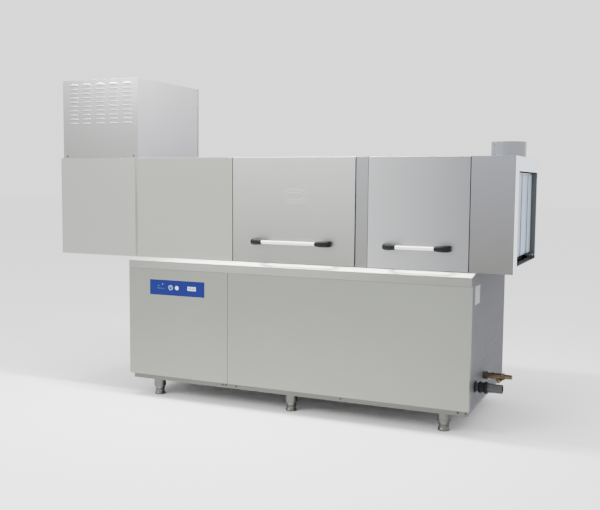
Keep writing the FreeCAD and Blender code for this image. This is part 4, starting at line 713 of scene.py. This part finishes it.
# ---------------------------------------------------------------- drain
def drain():
    """Waste pipe that tapers to a socket, with its ribbed union and wall flange."""
    lo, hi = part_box("drain_pipe")
    y = (lo.y + hi.y) / 2
    z = (lo.z + hi.z) / 2
    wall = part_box("drain_nut")[0].x
    length = hi.x - lo.x
    start = wall - lo.x
    bm = bmesh.new()
    lathe_into(bm, [(0.0170, 0.0), (0.0195, 0.0), (0.0195, start + 0.050),
                    (0.0216, start + 0.058), (0.0212, start + 0.070), (0.0196, length - 0.030),
                    (0.0204, length - 0.024), (0.0206, length - 0.004), (0.0198, length),
                    (0.0168, length), (0.0160, length - 0.003), (0.0158, length - 0.060),
                    (0.0170, length - 0.064), (0.0170, 0.0)], (lo.x, y, z), "x", 64)
    finish_piece("drain_tail", bm, "pvc_grey", "machine", 35.0, ("drain_pipe",))
    bm = bmesh.new()
    lathe_into(bm, [(0.0157, length - 0.058), (0.0157, length + 0.0002),
                    (0.0192, length + 0.0002), (0.0192, length - 0.0020)], (lo.x, y, z), "x", 64)
    finish_piece("drain_mouth", bm, "pvc_black", "machine", 35.0)
    bm = bmesh.new()
    lathe_into(bm, [(0.0198, 0.0), (0.0270, 0.0), (0.0270, 0.0040), (0.0262, 0.0050),
                    (0.0198, 0.0050)], (wall, y, z), "x", 64)
    lathe_into(bm, [(0.0198, 0.043), (0.0262, 0.043), (0.0270, 0.0442), (0.0270, 0.0548),
                    (0.0262, 0.056), (0.0198, 0.056)], (wall, y, z), "x", 64)
    lathe_into(bm, [(0.0198, 0.016), (0.0236, 0.016), (0.0240, 0.018), (0.0240, 0.028),
                    (0.0225, 0.030), (0.0225, 0.0425), (0.0198, 0.0425)], (wall, y, z), "x", 64)
    for k in range(20):
        a = 2 * math.pi * k / 20
        cy, cz = y + 0.0243 * math.cos(a), z + 0.0243 * math.sin(a)
        box_into(bm, (wall + 0.017, cy - 0.0013, cz - 0.0013),
                 (wall + 0.0275, cy + 0.0013, cz + 0.0013), 0.0004)
    finish_piece("drain_union", bm, "pvc_black", "machine", 35.0, ("drain_nut",))


# ---------------------------------------------------------------- curtains
def curtain(name, body):
    """Rod with six soft hanging strips, each with its own slight curl."""
    lo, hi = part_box(name)
    x = (lo.x + hi.x) / 2
    rod_r = (hi.x - lo.x) / 2
    rod_z = hi.z - rod_r
    bm = bmesh.new()
    lathe_into(bm, [(0.0, 0.0), (rod_r, 0.0), (rod_r, hi.y - lo.y), (0.0, hi.y - lo.y)],
               (x, lo.y, rod_z), "y", 32)
    rod = finish_piece(name + "_rod", bm, "shaft_steel", body, 50.0)
    first = lo.y + 0.0055
    last = hi.y - 0.0066
    pitch = (last - first) / STRIPS
    for k in range(STRIPS):
        side = STRIP_STAGGER if k % 2 else -STRIP_STAGGER
        a = first + k * pitch - (STRIP_OVERLAP if k else 0.0)
        b = first + (k + 1) * pitch + (STRIP_OVERLAP if k < STRIPS - 1 else 0.0)
        top = rod_z + 0.001
        bottom = lo.z + random.uniform(0.0, 0.004)
        bow = random.uniform(0.0006, 0.0014) * (1 if k % 2 else -1)
        sway = random.uniform(-0.0003, 0.0003)
        bm = bmesh.new()
        rows, cols = 30, 10
        grid = []
        for i in range(rows + 1):
            t = i / rows
            row = []
            for j in range(cols + 1):
                s = j / cols
                y = a + (b - a) * s
                curl = bow * (1 - (2 * s - 1) ** 2) * min(1.0, t * 3)
                px = x + side + curl + sway * t * t
                row.append(bm.verts.new((px, y, top + (bottom - top) * t)))
            grid.append(row)
        for i in range(rows):
            for j in range(cols):
                bm.faces.new((grid[i][j], grid[i][j + 1], grid[i + 1][j + 1], grid[i + 1][j]))
        strip = finish_piece("%s_strip_%d" % (name, k + 1), bm, "curtain_strip", body, 60.0,
                             (name,) if k == 0 else ())
        solid = strip.modifiers.new("thickness", "SOLIDIFY")
        solid.thickness = STRIP_THICK
        solid.offset = 0


# ---------------------------------------------------------------- lifting cables
def cable_runs(prefix):
    """Wire from each door ear up to its pulley, over it and down to the counterweight."""
    z_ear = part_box(prefix + "_door_cables")[0].z
    weight_lo, weight_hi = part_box(prefix + "_counterweights")
    r = CABLE_RADIUS
    door_body = prefix + "_door_body"
    shaft_lo, shaft_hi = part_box(prefix + "_balance_shaft")
    y_mid = (shaft_lo.y + shaft_hi.y) / 2
    z_mid = (shaft_lo.z + shaft_hi.z) / 2
    pulley = PULLEY_RADIUS
    turns = [2 * math.pi * n / CABLE_SIDES for n in range(CABLE_SIDES)]
    steps = 40
    xs = (weight_lo.x + 0.011, weight_hi.x - 0.011)
    for label, x in zip(("left", "right"), xs):
        bm = bmesh.new()
        rings = []
        for i in range(steps + 1):
            z = z_ear + (z_mid - z_ear) * i / steps
            rings.append([Vector((x + r * math.cos(a), y_mid - pulley + r * math.sin(a), z))
                          for a in turns])
        loft_into(bm, rings)
        run = finish_piece("%s_cable_rise_%s" % (prefix, label), bm, "cable_steel", None, 60.0)
        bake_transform(run)
        if label == "left":
            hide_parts(prefix + "_door_cables")
        bm = bmesh.new()
        rings = []
        for i in range(steps + 1):
            z = z_mid + (weight_hi.z - 0.004 - z_mid) * i / steps
            rings.append([Vector((x + r * math.cos(a), y_mid + pulley + r * math.sin(a), z))
                          for a in turns])
        loft_into(bm, rings)
        run = finish_piece("%s_cable_drop_%s" % (prefix, label), bm, "cable_steel", None, 60.0)
        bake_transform(run)
        bm = bmesh.new()
        rings = []
        for i in range(33):
            a = math.pi * i / 32
            out = Vector((0, -math.cos(a), math.sin(a)))
            rings.append([Vector((x, y_mid, z_mid)) + out * (pulley + r * math.cos(b))
                          + Vector((1, 0, 0)) * r * math.sin(b)
                          for b in turns])
        loft_into(bm, rings)
        finish_piece("%s_cable_wrap_%s" % (prefix, label), bm, "cable_steel", "machine", 60.0)
        bm = bmesh.new()
        lathe_into(bm, [(0.0, 0.0), (0.0035, 0.0), (0.0035, 0.012), (0.0018, 0.015), (0.0, 0.015)],
                   (x, y_mid - pulley, z_ear), "z", 24)
        finish_piece("%s_cable_ferrule_%s" % (prefix, label), bm, "shaft_steel", door_body, 40.0)


# ---------------------------------------------------------------- stage
def camera():
    """The view from the machine's right front, 1.1 m up."""
    yaw, pitch, roll = CAMERA_YAW, CAMERA_PITCH, CAMERA_ROLL
    forward = Vector((-math.sin(yaw) * math.cos(pitch), math.cos(yaw) * math.cos(pitch),
                      math.sin(pitch)))
    right = Vector((math.cos(yaw), math.sin(yaw), 0.0))
    up = right.cross(forward)
    r2 = right * math.cos(roll) + up * math.sin(roll)
    u2 = up * math.cos(roll) - right * math.sin(roll)
    data = bpy.data.cameras.new("view")
    data.sensor_width = CAMERA_SENSOR
    data.lens = CAMERA_LENS
    cam = bpy.data.objects.new("view", data)
    turn = Matrix((r2, u2, -forward)).transposed()
    cam.matrix_world = Matrix.Translation(CAMERA_PLACE) @ turn.to_4x4()
    bpy.context.scene.collection.objects.link(cam)
    bpy.context.scene.camera = cam


def area_light(name, place, target, size, power):
    """Rectangular white lamp aimed at a point."""
    data = bpy.data.lights.new(name, "AREA")
    data.shape = "RECTANGLE"
    data.size, data.size_y = size
    data.energy = power
    lamp = bpy.data.objects.new(name, data)
    aim = (Vector(target) - Vector(place)).to_track_quat("-Z", "Y")
    lamp.matrix_world = Matrix.Translation(place) @ aim.to_matrix().to_4x4()
    bpy.context.scene.collection.objects.link(lamp)


def stage():
    """Pale floor, even white surroundings and three soft lamps."""
    bm = bmesh.new()
    bmesh.ops.create_grid(bm, x_segments=1, y_segments=1, size=40.0)
    mesh = bpy.data.meshes.new("studio_floor")
    bm.to_mesh(mesh)
    bm.free()
    floor = bpy.data.objects.new("studio_floor", mesh)
    bpy.context.scene.collection.objects.link(floor)
    mat, _, bsdf = new_material("studio_floor_white")
    bsdf.inputs["Base Color"].default_value = (0.95, 0.95, 0.95, 1)
    bsdf.inputs["Roughness"].default_value = 0.9
    mesh.materials.append(mat)
    world = bpy.data.worlds.new("studio")
    world.use_nodes = True
    world.node_tree.nodes["Background"].inputs["Color"].default_value = (1, 1, 1, 1)
    world.node_tree.nodes["Background"].inputs["Strength"].default_value = 1.8
    bpy.context.scene.world = world
    area_light("key", (-2.6, -4.4, 3.6), (0.0, 0.0, 0.9), (3.0, 2.2), 150.0)
    area_light("strip", (-0.32, -0.345, 2.1), (-0.32, -0.345, 0.7), (2.1, 0.12), 120.0)
    area_light("top", (0.85, -0.7, 3.1), (-0.74, -0.05, 1.45), (1.0, 1.0), 60.0)


def main():
    """Dress the CAD nodes, add the detailed pieces, then the view and the studio."""
    dress_cad_nodes()
    handle("wash", "wash_door_body")
    handle("prewash", "prewash_door_body")
    feet()
    control_panel()
    rating_label()
    door_emboss()
    tower_front()
    tower_seam()
    module_joint()
    drain()
    for name in ("entry_curtain", "middle_curtain", "exit_curtain"):
        curtain(name, name + "_body")
    cable_runs("wash")
    cable_runs("prewash")
    camera()
    stage()


main()
